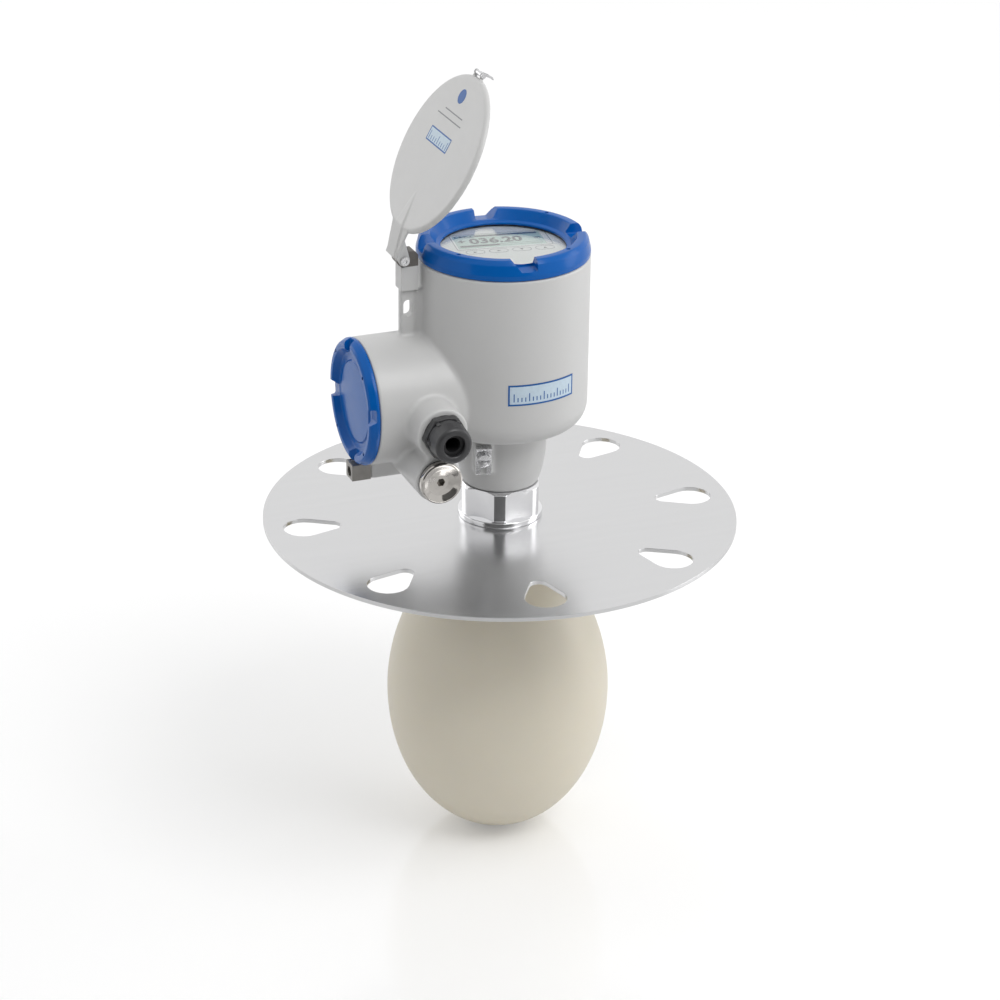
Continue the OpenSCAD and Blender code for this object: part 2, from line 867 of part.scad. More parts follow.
module gland_body() {
    hex_at = entry_face + washer_t;
    color([0.12, 0.12, 0.13])
        at_entry(entry_upper)
            difference() {
                union() {
                    translate([0, 0, entry_face - 10])
                        cylinder(r = entry_r - fit, h = 12);
                    translate([0, 0, hex_at])
                        intersection() {
                            hex_prism(gland_af, gland_hex_t);
                            rotate_extrude()
                                polygon([
                                    [0, 0],
                                    [gland_af / 2 + 1.4, 0],
                                    [gland_af / 2 + 1.4, gland_hex_t - 0.8],
                                    [gland_af / 2 + 0.2, gland_hex_t],
                                    [0, gland_hex_t]
                                ]);
                        }
                    translate([0, 0, hex_at + gland_hex_t - 1])
                        cylinder(r = gland_collar_r, h = gland_collar_len + 1);
                }
                translate([0, 0, entry_face - 20])
                    cylinder(r = seal_r - 1, h = through);
                translate([0, 0, hex_at + 1])
                    cylinder(r = seal_r + gap, h = through);
            }
}

module gland_washer() {
    color("dimgray")
        at_entry(entry_upper)
            ring(gland_af / 2, entry_r + 0.1, entry_face, entry_face + washer_t);
}

module gland_seal() {
    z0 = entry_face + washer_t + 2;
    z1 = nut_at + nut_len - 3.2;
    color("dimgray")
        at_entry(entry_upper)
            ring(seal_r, cable_r, z0, z1);
}

module gland_nut() {
    color([0.12, 0.12, 0.13])
        at_entry(entry_upper)
            difference() {
                union() {
                    translate([0, 0, nut_at])
                        rotate_extrude()
                            polygon(concat(
                                [[gland_mouth_r, nut_len - 2.4]],
                                [[gland_collar_r + gap, nut_len - 2.9]],
                                [[gland_collar_r + gap, 0]],
                                [[nut_r, 0]],
                                [[nut_r, 4]],
                                arc(nut_face_r - 1.2, nut_len - 2.6, 2.6, 18, 90, 5),
                                [[gland_mouth_r + 0.6, nut_len]],
                                [[gland_mouth_r, nut_len - 0.6]]
                            ));
                    // spanner flats stand proud as six ribs
                    for (a = [0:60:300])
                        rotate([0, 0, a])
                            translate([nut_r - 1.4, -1.1, nut_at])
                                cube([2.1, 2.2, 3.6]);
                }
            }
}

module blind_plug() {
    z0 = entry_face + washer_t + 2 * gap;
    color("silver")
        at_entry(entry_lower)
            difference() {
                union() {
                    translate([0, 0, entry_face - 9])
                        cylinder(r = entry_r - fit, h = 12);
                    translate([0, 0, z0])
                        rotate_extrude()
                            polygon([
                                [0, 0],
                                [boss_lower_r - 1.2, 0],
                                [boss_lower_r - 1.2, 3],
                                [boss_lower_r - 1.8, 3.8],
                                [boss_lower_r - 2.6, 4],
                                [boss_lower_r - 3.1, 3.7],
                                [boss_lower_r - 5, 2.9],
                                [boss_lower_r - 7, 2.3],
                                [boss_lower_r - 9.5, 1.9],
                                [0, 1.8]
                            ]);
                }
                translate([0, 0, z0 - 3])
                    cylinder(d = plug_socket_af / cos(30), h = 20, $fn = 6);
            }
}

module plug_washer() {
    color("dimgray")
        at_entry(entry_lower)
            ring(boss_lower_r - 1.6, entry_r + gap, entry_face + gap, entry_face + gap + washer_t);
}

// ---------------------------------------------------------------- earth terminal

module earth_clamp() {
    color("silver")
        at_earth()
            translate([0, 0, pad_face + gap])
                difference() {
                    union() {
                        translate([-clamp_w / 2, -clamp_down, 0])
                            cube([clamp_w, clamp_up + clamp_down, clamp_t]);
                        // lip that turns the wire's end back
                        translate([-clamp_w / 2, clamp_up - clamp_t, 0])
                            cube([clamp_w, clamp_t, 5]);
                    }
                    translate([0, 0, -1])
                        cylinder(r = earth_screw_r + gap, h = 5);
                    // open slot for the wire
                    translate([-1.6, -clamp_down - 1, -1])
                        cube([3.2, 5.4, 5]);
                }
}

module earth_screw() {
    head_at = clamp_t + 2 * gap;
    color("silver")
        at_earth()
            translate([0, 0, pad_face])
                difference() {
                    union() {
                        translate([0, 0, -7])
                            cylinder(r = earth_screw_r, h = 8 + head_at);
                        translate([0, 0, head_at])
                            cylinder(r = 4.8, h = 0.8);
                        translate([0, 0, head_at])
                            rotate_extrude()
                                polygon([[0, 0], [4.3, 0], [4.3, 2], [3.8, 3.1], [0, 3.6]]);
                    }
                    translate([-6, -0.6, head_at + 2])
                        cube([12, 1.2, 3]);
                }
}

// ---------------------------------------------------------------- cover lock

module cover_lock() {
    color("gray")
        difference() {
            translate([-lock_x0, -lock_w / 2, lock_z0])
                cube([lock_x0 - lock_x1, lock_w, lock_z1 - lock_z0]);
            at_lock_screw()
                translate([0, 0, -1])
                    cylinder(r = lock_screw_r + 2 * fit, h = 30);
            at_lock_screw()
                translate([0, 0, lock_x0 - lock_x1 - 6])
                    cylinder(r = 3 + fit, h = 30);
            // thread of the set screw under the rim of the cover
            translate([-lock_x0 + 2.8, lock_w / 2 - 2.2, lock_z0 - 1])
                cylinder(r = 1 + fit, h = 30, $fn = 24);
        }
}

module cover_lock_screw() {
    color("silver") {
        // cap screw into the rib
        at_lock_screw()
            difference() {
                union() {
                    translate([0, 0, lock_x0 - lock_x1 - 6])
                        cylinder(r = 2.9, h = 3);
                    translate([0, 0, -7])
                        cylinder(r = lock_screw_r, h = lock_x0 - lock_x1 + 2);
                }
                translate([0, 0, lock_x0 - lock_x1 - 4.6])
                    cylinder(d = 2.5 / cos(30), h = 3, $fn = 6);
            }
        // set screw that holds the cover
        translate([-lock_x0 + 2.8, lock_w / 2 - 2.2, lock_z0 + 1])
            cylinder(r = 1, h = lock_z1 - lock_z0 - 1.4, $fn = 24);
    }
}

// ---------------------------------------------------------------- weather lid

module lid_bracket() {
    color("lightgray")
        difference() {
            translate([-saddle_x0, -saddle_w / 2, saddle_z])
                cube([saddle_x0 - saddle_x1, saddle_w, saddle_h]);
            // pocket for the lug's tongue
            translate([-lug_x0 + 2 - fit, -lug_tongue_w / 2 - fit, saddle_z - 1])
                cube([lug_x0 - lug_x1 - 2 + 2 * fit, lug_tongue_w + 2 * fit, saddle_h - 0.8]);
            // holes of the two screws behind
            for (z = [4, 10])
                translate([-(saddle_x0 + saddle_x1) / 2, 0, saddle_z + z])
                    rotate([-90, 0, 0])
                        cylinder(r = 1.25 + fit, h = 20, $fn = 24);
        }
}

module bracket_screws() {
    color("silver")
        for (z = [4, 10])
            translate([-(saddle_x0 + saddle_x1) / 2, saddle_w / 2, saddle_z + z])
                rotate([-90, 0, 0])
                    difference() {
                        union() {
                            translate([0, 0, (lug_tongue_w - saddle_w) / 2 + fit])
                                cylinder(r = 1.25, h = (saddle_w - lug_tongue_w) / 2 + 1, $fn = 24);
                            cylinder(r = 2.4, h = 1.6, $fn = 24);
                        }
                        translate([-0.4, -3, 0.8])
                            cube([0.8, 6, 3]);
                    }
}

module hinge_block() {
    color("gray")
        translate([0, block_w / 2, 0])
            rotate([90, 0, 0])
                difference() {
                    linear_extrude(height = block_w)
                        union() {
                            translate([-hinge_x, hinge_z])
                                circle(r = knuckle_r);
                            polygon([
                                [-hinge_x - 1.5, block_z],
                                [-block_x1, block_z],
                                [-block_x1, block_top - 2.2],
                                [-block_x1 - 2.2, block_top],
                                [-hinge_x + 4.4, block_top],
                                [-hinge_x, hinge_z + knuckle_r - 0.6],
                                [-hinge_x - 1.5, hinge_z]
                            ]);
                        }
                    translate([-hinge_x, hinge_z, -1])
                        cylinder(r = hinge_pin_r + fit, h = block_w + 2);
                }
}

module hinge_pin() {
    half = cheek_y + cheek_t + gap;
    color("silver")
        translate([-hinge_x, 0, hinge_z])
            rotate([90, 0, 0])
                difference() {
                    union() {
                        translate([0, 0, -half - 0.5])
                            cylinder(r = hinge_pin_r, h = 2 * half + 1);
                        translate([0, 0, half])
                            cylinder(r = 2.7, h = 1.1);
                        translate([0, 0, -half - 1.1])
                            cylinder(r = 2.7, h = 1.1);
                    }
                    // the ends are hollow where they are spread
                    translate([0, 0, half + 0.1])
                        cylinder(r = 1.1, h = 3);
                    translate([0, 0, -half - 3.1])
                        cylinder(r = 1.1, h = 3);
                }
}

// The lid is a shallow dish with a rounded edge
module lid_dish() {
    rotate_extrude()
        polygon(concat(
            [[0, lid_top]],
            arc(lid_r - lid_round, lid_top - lid_round, lid_round, 90, 0, 6),
            [[lid_r, lid_lip_z]],
            [[lid_r - lid_wall, lid_lip_z]],
            arc(lid_r - lid_round, lid_top - lid_round, lid_round - lid_wall, 0, 90, 4),
            [[0, lid_top - lid_wall]]
        ));
}

module lid_tongue() {
    x0 = -hinge_x - 1;
    x1 = -hinge_x + tongue_reach;
    // flat arm from the dish to the hinge, wider at the dish
    intersection() {
        translate([0, tongue_w1, 0])
            rotate([90, 0, 0])
                linear_extrude(height = 2 * tongue_w1)
                    polygon([
                        [x0, tongue_z0],
                        [x1, lid_top - 0.25],
                        [x1 + 3, lid_top - 0.25],
                        [x1 + 3, lid_top - 0.25 - lid_wall],
                        [x1, lid_top - 0.25 - lid_wall],
                        [x0, tongue_z0 - lid_wall]
                    ]);
        linear_extrude(height = lid_top + through)
            polygon([
                [x0, -tongue_w0 / 2],
                [x1, -tongue_w1 / 2],
                [x1 + 3, -tongue_w1 / 2],
                [x1 + 3, tongue_w1 / 2],
                [x1, tongue_w1 / 2],
                [x0, tongue_w0 / 2]
            ]);
    }
    // cheeks that hold the pin
    for (y = [-cheek_y - cheek_t, cheek_y])
        translate([0, y + cheek_t, 0])
            rotate([90, 0, 0])
                linear_extrude(height = cheek_t)
                    union() {
                        translate([-hinge_x, hinge_z])
                            circle(r = knuckle_r - 0.5);
                        polygon([
                            [-hinge_x - 3.2, hinge_z - 1.3],
                            [-hinge_x + 2.6, hinge_z - 2.2],
                            [x1 - 4, lid_lip_z + 1.2],
                            [x1, lid_top - 1.2],
                            [x0 + 1, tongue_z0 - 1],
                            [x0 - 0.4, tongue_z0 - 1]
                        ]);
                    }
}

// Raised wedge that stiffens the tongue; it narrows and runs out on the dish
module lid_bead() {
    x0 = -hinge_x - 1;
    x1 = -hinge_x + tongue_reach;
    intersection() {
        translate([0, tongue_w0, 0])
            rotate([90, 0, 0])
                linear_extrude(height = 2 * tongue_w0)
                    polygon([
                        [x0, tongue_z0 + bead_rise],
                        [x1, lid_top + bead_rise],
                        [-bead_tip_x, lid_top + 0.1],
                        [-bead_tip_x, lid_top - 0.5],
                        [x1, lid_top - 0.9],
                        [x0, tongue_z0 - 0.7]
                    ]);
        linear_extrude(height = lid_top + through)
            polygon([
                [x0, -bead_w0 / 2],
                [x1, -bead_w1 / 2],
                [-bead_tip_x, -0.3],
                [-bead_tip_x, 0.3],
                [x1, bead_w1 / 2],
                [x0, bead_w0 / 2]
            ]);
    }
}

module weather_lid() {
    color("lightgray")
        lid_swing()
            difference() {
                union() {
                    lid_dish();
                    lid_tongue();
                    lid_bead();
                    // ears for the latch at the lid's free edge
                    for (y = [-latch_w / 2 - gap - 1.4, latch_w / 2 + gap])
                        translate([0, y + 1.4, 0])
                            rotate([90, 0, 0])
                                linear_extrude(height = 1.4)
                                    union() {
                                        translate([latch_x, latch_z])
                                            circle(r = latch_hub_r);
                                        polygon([
                                            [lid_r - lid_wall / 2, lid_lip_z],
                                            [latch_x, latch_z - latch_hub_r],
                                            [latch_x, latch_z + latch_hub_r],
                                            [lid_r - 0.8, latch_z + latch_hub_r]
                                        ]);
                                    }
                }
                translate([-hinge_x, 20, hinge_z])
                    rotate([90, 0, 0])
                        cylinder(r = hinge_pin_r + fit, h = 40);
                translate([latch_x, 20, latch_z])
                    rotate([90, 0, 0])
                        cylinder(r = latch_pin_r + fit, h = 40, $fn = 24);
            }
}

module latch_pin() {
    half = latch_w / 2 + gap + 1.4;
    color("silver")
        lid_swing()
            translate([latch_x, 0, latch_z])
                rotate([90, 0, 0])
                    union() {
                        translate([0, 0, -half])
                            cylinder(r = latch_pin_r, h = 2 * half, $fn = 24);
                        translate([0, 0, half])
                            cylinder(r = 1.5, h = 0.7, $fn = 24);
                        translate([0, 0, -half - 0.7])
                            cylinder(r = 1.5, h = 0.7, $fn = 24);
                    }
}

// Spring clip that grips the side of the display cover when the lid is shut
module latch_hook() {
    knee = [latch_x + 0.9, latch_z - 6];
    nose = [body_r - 0.1, knee[1] - 1.2];
    color("silver")
        lid_swing()
            difference() {
                translate([0, latch_w / 2, 0])
                    rotate([90, 0, 0])
                        linear_extrude(height = latch_w)
                            union() {
                                translate([latch_x, latch_z])
                                    circle(r = latch_hub_r);
                                polygon([
                                    [latch_x + 0.1, latch_z - 0.8],
                                    [knee[0] - 0.5, knee[1]],
                                    nose,
                                    [nose[0] + 0.3, nose[1] - 0.9],
                                    [knee[0] + 0.6, knee[1] - 0.7],
                                    [latch_x + 1.2, latch_z - 0.4]
                                ]);
                            }
                translate([latch_x, 20, latch_z])
                    rotate([90, 0, 0])
                        cylinder(r = latch_pin_r + fit, h = 40, $fn = 24);
                // window between the clip's two legs
                translate([latch_x - 4, -latch_w / 2 + 1.6, knee[1] + 0.4])
                    cube([8, latch_w - 3.2, latch_z - latch_hub_r - knee[1] - 0.6]);
            }
}

// ---------------------------------------------------------------- assembly

flange_plate();
antenna_drop();
antenna_seal();
process_connection();
connection_seal();
waveguide_rod();
housing();
electronics_unit();
display_bezel();
lcd_panel();
display_cover();
cover_window();
window_gasket();
window_retainer();
display_cover_seal();
terminal_cover();
terminal_cover_seal();
terminal_block();
terminal_screws();
gland_body();
gland_washer();
gland_seal();
gland_nut();
blind_plug();
plug_washer();
earth_clamp();
earth_screw();
cover_lock();
cover_lock_screw();
lid_bracket();
bracket_screws();
hinge_block();
hinge_pin();
weather_lid();
latch_pin();
latch_hook();
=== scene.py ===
"""Radar level transmitter: cast, turned and moulded pieces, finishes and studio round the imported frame."""

import json
import math

import bmesh
import bpy
from mathutils import Matrix, Vector

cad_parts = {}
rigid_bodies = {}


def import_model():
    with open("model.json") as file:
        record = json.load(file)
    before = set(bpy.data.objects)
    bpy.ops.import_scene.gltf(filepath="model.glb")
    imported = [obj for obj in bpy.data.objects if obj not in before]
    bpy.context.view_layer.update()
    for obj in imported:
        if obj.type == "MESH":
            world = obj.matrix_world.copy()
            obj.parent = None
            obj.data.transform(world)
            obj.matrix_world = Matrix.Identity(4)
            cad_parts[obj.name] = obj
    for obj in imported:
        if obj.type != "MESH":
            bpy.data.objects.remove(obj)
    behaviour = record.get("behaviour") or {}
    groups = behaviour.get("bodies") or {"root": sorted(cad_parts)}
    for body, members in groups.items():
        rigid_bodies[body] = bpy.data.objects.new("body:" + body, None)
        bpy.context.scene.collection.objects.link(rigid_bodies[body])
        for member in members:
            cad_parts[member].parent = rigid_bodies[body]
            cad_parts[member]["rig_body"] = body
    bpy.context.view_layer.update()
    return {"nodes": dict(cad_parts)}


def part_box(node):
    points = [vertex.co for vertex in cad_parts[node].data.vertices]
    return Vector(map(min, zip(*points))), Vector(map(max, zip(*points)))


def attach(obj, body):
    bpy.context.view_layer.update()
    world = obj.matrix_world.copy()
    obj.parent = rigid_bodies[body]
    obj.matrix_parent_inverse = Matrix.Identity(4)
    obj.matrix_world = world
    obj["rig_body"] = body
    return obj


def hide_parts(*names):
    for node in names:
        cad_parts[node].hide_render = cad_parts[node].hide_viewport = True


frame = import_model()

# ------------------------------------------------------------------ sizes, in metres

MM = 0.001

# flange plate and slots
PLATE_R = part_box("flange_plate")[1].x
PLATE_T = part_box("flange_plate")[1].z
PLATE_BORE_R = 13 * MM
SLOT_COUNT = 8
SLOT_TURN = math.radians(-9)
SLOT_WIDE = (119.5 * MM, 12.2 * MM)
SLOT_NARROW = (102.5 * MM, 5.5 * MM)

# antenna
DROP_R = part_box("antenna_drop")[1].x
DROP_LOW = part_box("antenna_drop")[0].z
DROP_WIDEST = -114.5 * MM
NOSE_ROUNDNESS = 2.05
SHOULDER_H = 96 * MM
SHOULDER_ROUNDNESS = 1.9
STEM_R = 31 * MM
ANTENNA_FLANGE_R = 46 * MM
ANTENNA_FLANGE_Z = -6.5 * MM

# process connection
HEX_AF = 46 * MM
HEX_CORNER_R = 24.85 * MM
HEX_TURN = math.radians(8)
COLLAR_R = 25.5 * MM
COLLAR_Z = PLATE_T
HEX_Z = COLLAR_Z + 3.4 * MM
NECK_Z = HEX_Z + 19 * MM
SPIGOT_R = 16 * MM

# housing
BODY_R = 50.9 * MM
BODY_TOP = 168.2 * MM
ROOM_R = 43.9 * MM
ROOM_FLOOR = 92 * MM
SHOULDER_R = 14 * MM
SHOULDER_Z = 64.2 * MM
NECK_BASE_R = 22.4 * MM
NECK_TOP_R = 27.2 * MM
NECK_TOP_Z = 50.4 * MM
TUBE_Z = 87.2 * MM
TUBE_R = 37.7 * MM
TUBE_END = 88.8 * MM
TUBE_ROOM_R = 31.5 * MM
TUBE_BACK = 54 * MM
ENTRY_UPPER = (-57.5 * MM, 83.5 * MM)
ENTRY_LOWER = (-60 * MM, 55.5 * MM)
ENTRY_FACE = 55 * MM
ENTRY_R = 10 * MM
ENTRY_PITCH = 1.5 * MM
BOSS_UPPER_R = 15.5 * MM
BOSS_LOWER_R = 13.9 * MM
TUBE_DOME_Z = 42 * MM
TUBE_DOME_H = 30 * MM
FIT = 0.05 * MM

# earth terminal
PAD_TURN = math.radians(-15)
PAD_X = -13.7 * MM
PAD_FACE = 29 * MM
EARTH_Z = 51 * MM

# cover lock
LOCK_W = 11 * MM
LOCK_X = -84 * MM
LOCK_Z = 44 * MM

# display
COVER_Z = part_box("display_cover")[0].z + 10 * MM
COVER_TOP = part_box("display_cover")[1].z
COVER_SKIRT_R = 45.4 * MM
WINDOW_R = 36.5 * MM
GLASS_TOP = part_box("cover_window")[1].z
PANEL_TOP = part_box("lcd_panel")[1].z
DISPLAY_TURN = math.radians(-8)
COVER_TURN = math.radians(-4)

# both screwed covers: notches and spanner holes round the rim, and the skirt's thread
RIM_COUNT = 4
HOLE_SHIFT = 0.42 * math.tau / RIM_COUNT
COVER_PITCH = 2 * MM
COVER_RIDGE = 0.6 * MM

# terminal cover
TCOVER_AT = 89.1 * MM
TCOVER_END = -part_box("terminal_cover")[0].x
TCOVER_SKIRT_R = 33 * MM

# weather lid
LID_TOP = 183.1 * MM
HINGE = (-63.2 * MM, 172.6 * MM)
LID_OPEN = math.radians(61)

# prints
PRINT_T = 0.06 * MM
OVER_FILM_Z = PANEL_TOP + 0.2 * MM
LABEL_LOW = 92.4 * MM
LABEL_HIGH = 105.2 * MM
LABEL_MIDDLE = math.radians(-83)
LABEL_HALF = math.radians(24)
FRAME_LINE = 1.0 * MM

# studio
FLOOR_Z = DROP_LOW
AIM = (0, 0, 0.05)

# ------------------------------------------------------------------ frames

# +Z runs out of the terminal compartment, a cable entry, the earth pad, or stands on the opened lid
TUBE = Matrix.Translation((0, 0, TUBE_Z)) @ Matrix.Rotation(-math.pi / 2, 4, "Y")
EARTH = (
    Matrix.Rotation(PAD_TURN, 4, "Z")
    @ Matrix.Translation((PAD_X, 0, EARTH_Z))
    @ Matrix.Rotation(math.pi / 2, 4, "X")
)
LID = (
    Matrix.Translation((HINGE[0], 0, HINGE[1]))
    @ Matrix.Rotation(-LID_OPEN, 4, "Y")
    @ Matrix.Translation((-HINGE[0], 0, -HINGE[1]))
)
DISPLAY = Matrix.Rotation(DISPLAY_TURN, 4, "Z")
COVER = Matrix.Rotation(COVER_TURN, 4, "Z")
TCOVER = TUBE @ Matrix.Rotation(math.radians(8), 4, "Z")


def entry(place):
    """A frame at place, as (x, z), whose +Z runs to the front, as a cable entry's does."""
    return Matrix.Translation((place[0], 0, place[1])) @ Matrix.Rotation(math.pi / 2, 4, "X")


# ------------------------------------------------------------------ finishes


class Finish:
    """A material with its shader, its object coordinates and short ways to add patterns."""

    def __init__(self, name, colour, roughness, metallic=0.0):
        self.material = bpy.data.materials.new(name)
        self.material.use_nodes = True
        self.nodes = self.material.node_tree.nodes
        self.links = self.material.node_tree.links
        self.shader = self.nodes["Principled BSDF"]
        self.place = self.nodes.new("ShaderNodeTexCoord").outputs["Object"]
        self.set(**{"Base Color": (*colour, 1), "Roughness": roughness, "Metallic": metallic})

    def set(self, **sockets):
        """Sets shader sockets to plain values."""
        for socket, value in sockets.items():
            self.shader.inputs[socket].default_value = value

    def noise(self, size, stretch=(1, 1, 1), turn=0.0, detail=3.0):
        """Noise whose grains are about size metres, shorter along the stretched axes."""
        mapping = self.nodes.new("ShaderNodeMapping")
        mapping.inputs["Rotation"].default_value[2] = turn
        mapping.inputs["Scale"].default_value = stretch
        noise = self.nodes.new("ShaderNodeTexNoise")
        noise.inputs["Scale"].default_value = 1 / size
        noise.inputs["Detail"].default_value = detail
        self.links.new(self.place, mapping.inputs["Vector"])
        self.links.new(mapping.outputs["Vector"], noise.inputs["Vector"])
        return noise.outputs["Fac"]

    def rings(self, pitch, axis="Z"):
        """Fine turning marks: bands across axis, pitch metres apart."""
        wave = self.nodes.new("ShaderNodeTexWave")
        wave.bands_direction = axis
        wave.inputs["Scale"].default_value = math.pi / 10 / pitch
        wave.inputs["Distortion"].default_value = 1.5
        self.links.new(self.place, wave.inputs["Vector"])
        return wave.outputs["Fac"]

    def spread(self, factor, low, high):
        """Maps a pattern of 0 to 1 onto low to high."""
        span = self.nodes.new("ShaderNodeMapRange")
        span.inputs["From Min"].default_value = 0.3
        span.inputs["From Max"].default_value = 0.7
        span.inputs["To Min"].default_value = low
        span.inputs["To Max"].default_value = high
        self.links.new(factor, span.inputs["Value"])
        return span.outputs["Result"]

    def shade(self, factor, dark, light):
        """Lets a pattern vary the colour between dark and light."""
        ramp = self.nodes.new("ShaderNodeValToRGB")
        ramp.color_ramp.elements[0].position = 0.3
        ramp.color_ramp.elements[1].position = 0.7
        ramp.color_ramp.elements[0].color = (*dark, 1)
        ramp.color_ramp.elements[1].color = (*light, 1)
        self.links.new(factor, ramp.inputs["Fac"])
        self.links.new(ramp.outputs["Color"], self.shader.inputs["Base Color"])
        return self

    def rough(self, factor, low, high):
        """Lets a pattern vary the roughness between low and high."""
        self.links.new(self.spread(factor, low, high), self.shader.inputs["Roughness"])
        return self

    def bump(self, factor, height, strength=1.0):
        """Raises the surface by height metres where the pattern is 1."""
        bump = self.nodes.new("ShaderNodeBump")
        bump.inputs["Strength"].default_value = strength
        bump.inputs["Distance"].default_value = height
        self.links.new(factor, bump.inputs["Height"])
        before = self.shader.inputs["Normal"].links
        if before:
            self.links.new(before[0].from_socket, bump.inputs["Normal"])
        self.links.new(bump.outputs["Normal"], self.shader.inputs["Normal"])
        return self


def tones(colour, spread):
    """A darker and a lighter tone of a colour."""
    return [tuple(c * k for c in colour) for k in (1 - spread, 1 + spread)]


def make_finishes():
    """Every finish on the transmitter, by name."""
    made = {}

    colour = (0.60, 0.60, 0.595)
    paint = Finish("grey_powder_coat", colour, 0.4)
    paint.shade(paint.noise(0.03), *tones(colour, 0.012))
    paint.rough(paint.noise(0.004), 0.36, 0.44)
    paint.bump(paint.noise(0.0011, detail=2), 0.00002, 0.35)
    paint.set(**{"Coat Weight": 0.12, "Coat Roughness": 0.25})
    made["grey_paint"] = paint

    colour = (0.0, 0.105, 0.42)
    paint = Finish("blue_gloss_coat", colour, 0.22)
    paint.shade(paint.noise(0.02), *tones(colour, 0.015))
    paint.rough(paint.noise(0.003), 0.2, 0.25)
    paint.bump(paint.noise(0.0016, detail=2), 0.00001, 0.2)
    paint.set(**{"Specular IOR Level": 0.15, "Coat Weight": 0.12, "Coat Roughness": 0.05})
    made["blue_paint"] = paint

    colour = (0.66, 0.66, 0.665)
    steel = Finish("brushed_plate", colour, 0.24, 1.0)
    steel.shade(steel.noise(0.02, (0.2, 4, 1), math.radians(22)), *tones(colour, 0.008))
    steel.rough(steel.noise(0.0008, (0.02, 1, 1), math.radians(22)), 0.21, 0.27)
    steel.bump(steel.noise(0.0005, (0.012, 1, 1), math.radians(22), 2), 0.000001, 0.4)
    made["brushed_plate"] = steel

    colour = (0.80, 0.80, 0.81)
    steel = Finish("polished_steel", colour, 0.08, 1.0)
    steel.shade(steel.noise(0.01), *tones(colour, 0.02))
    steel.rough(steel.noise(0.003), 0.05, 0.11)
    steel.bump(steel.noise(0.0004, (0.05, 0.05, 1), 0, 2), 0.000002, 0.3)
    made["polished_steel"] = steel

    colour = (0.66, 0.66, 0.67)
    steel = Finish("satin_steel", colour, 0.28, 1.0)
    steel.shade(steel.noise(0.004), *tones(colour, 0.05))
    steel.rough(steel.noise(0.0008), 0.22, 0.34)
    made["fastener_steel"] = steel

    colour = (0.47, 0.45, 0.425)
    nickel = Finish("nickel_plating", colour, 0.1, 1.0)
    nickel.shade(nickel.noise(0.006), *tones(colour, 0.03))
    nickel.rough(nickel.noise(0.002), 0.06, 0.15)
    nickel.bump(nickel.noise(0.006, detail=1), 0.0002, 0.3)
    made["nickel"] = nickel

    colour = (0.79, 0.735, 0.61)
    ivory = Finish("ivory_plastic", colour, 0.42)
    ivory.shade(ivory.noise(0.05), *tones(colour, 0.012))
    ivory.rough(ivory.noise(0.004), 0.38, 0.47)
    ivory.bump(ivory.rings(0.0006), 0.000006, 0.3)
    ivory.set(**{"Subsurface Weight": 0.12, "Subsurface Radius": (0.004, 0.003, 0.0015)})
    made["ivory_plastic"] = ivory

    colour = (0.8, 0.8, 0.78)
    plain = Finish("white_plastic", colour, 0.4)
    plain.shade(plain.noise(0.01), *tones(colour, 0.02))
    made["white_plastic"] = plain

    colour = (0.034, 0.034, 0.036)
    black = Finish("black_nylon", colour, 0.36)
    black.shade(black.noise(0.004), *tones(colour, 0.15))
    black.rough(black.noise(0.001), 0.3, 0.42)
    black.bump(black.noise(0.0005), 0.00001, 0.3)
    made["black_plastic"] = black

    colour = (0.014, 0.014, 0.015)
    rubber = Finish("seal_rubber", colour, 0.62)
    rubber.shade(rubber.noise(0.003), *tones(colour, 0.2))
    rubber.bump(rubber.noise(0.0006), 0.00002, 0.4)
    made["seal_rubber"] = rubber

    glass = Finish("window_glass", (0.98, 1.0, 0.995), 0.0)
    glass.set(**{"Transmission Weight": 1.0, "IOR": 1.45})
    glass.rough(glass.noise(0.02), 0.0, 0.004)
    made["window_glass"] = glass

    colour = (0.77, 0.775, 0.76)
    film = Finish("display_film", colour, 0.38)
    film.shade(film.noise(0.01), *tones(colour, 0.01))
    film.bump(film.noise(0.0006), 0.000004, 0.4)
    made["display_plastic"] = film

    colour = (0.52, 0.66, 0.60)
    lcd = Finish("lcd_glass", colour, 0.14)
    lcd.shade(lcd.noise(0.02), *tones(colour, 0.02))
    lcd.rough(lcd.noise(0.01), 0.1, 0.18)
    made["lcd"] = lcd

    for name, colour in (
        ("ink_black", (0.012, 0.014, 0.014)),
        ("ink_grey", (0.22, 0.23, 0.24)),
        ("ink_blue", (0.005, 0.10, 0.36)),
        ("label_film", (0.56, 0.68, 0.78)),
    ):
        ink = Finish(name, colour, 0.45)
        ink.shade(ink.noise(0.002), *tones(colour, 0.04))
        made[name] = ink

    colour = (0.045, 0.047, 0.05)
    unit = Finish("unit_plastic", colour, 0.5)
    unit.shade(unit.noise(0.005), *tones(colour, 0.1))
    unit.bump(unit.noise(0.0006), 0.00002, 0.4)
    made["unit_plastic"] = unit

    colour = (0.06, 0.22, 0.10)
    green = Finish("terminal_plastic", colour, 0.35)
    green.shade(green.noise(0.005), *tones(colour, 0.06))
    made["terminal_plastic"] = green

    colour = (0.25, 0.24, 0.225)
    anodised = Finish("anodised_aluminium", colour, 0.38, 0.85)
    anodised.shade(anodised.noise(0.006), *tones(colour, 0.06))
    anodised.rough(anodised.noise(0.001), 0.33, 0.45)
    anodised.bump(anodised.noise(0.0005), 0.00001, 0.4)
    made["anodised"] = anodised

    colour = (0.155, 0.145, 0.135)
    block = Finish("cast_block", colour, 0.45, 0.6)
    block.shade(block.noise(0.005), *tones(colour, 0.12))
    block.rough(block.noise(0.001), 0.38, 0.52)
    block.bump(block.noise(0.0006), 0.00003, 0.5)
    made["cast_block"] = block
    return made


FINISH = make_finishes()

# ------------------------------------------------------------------ shapes


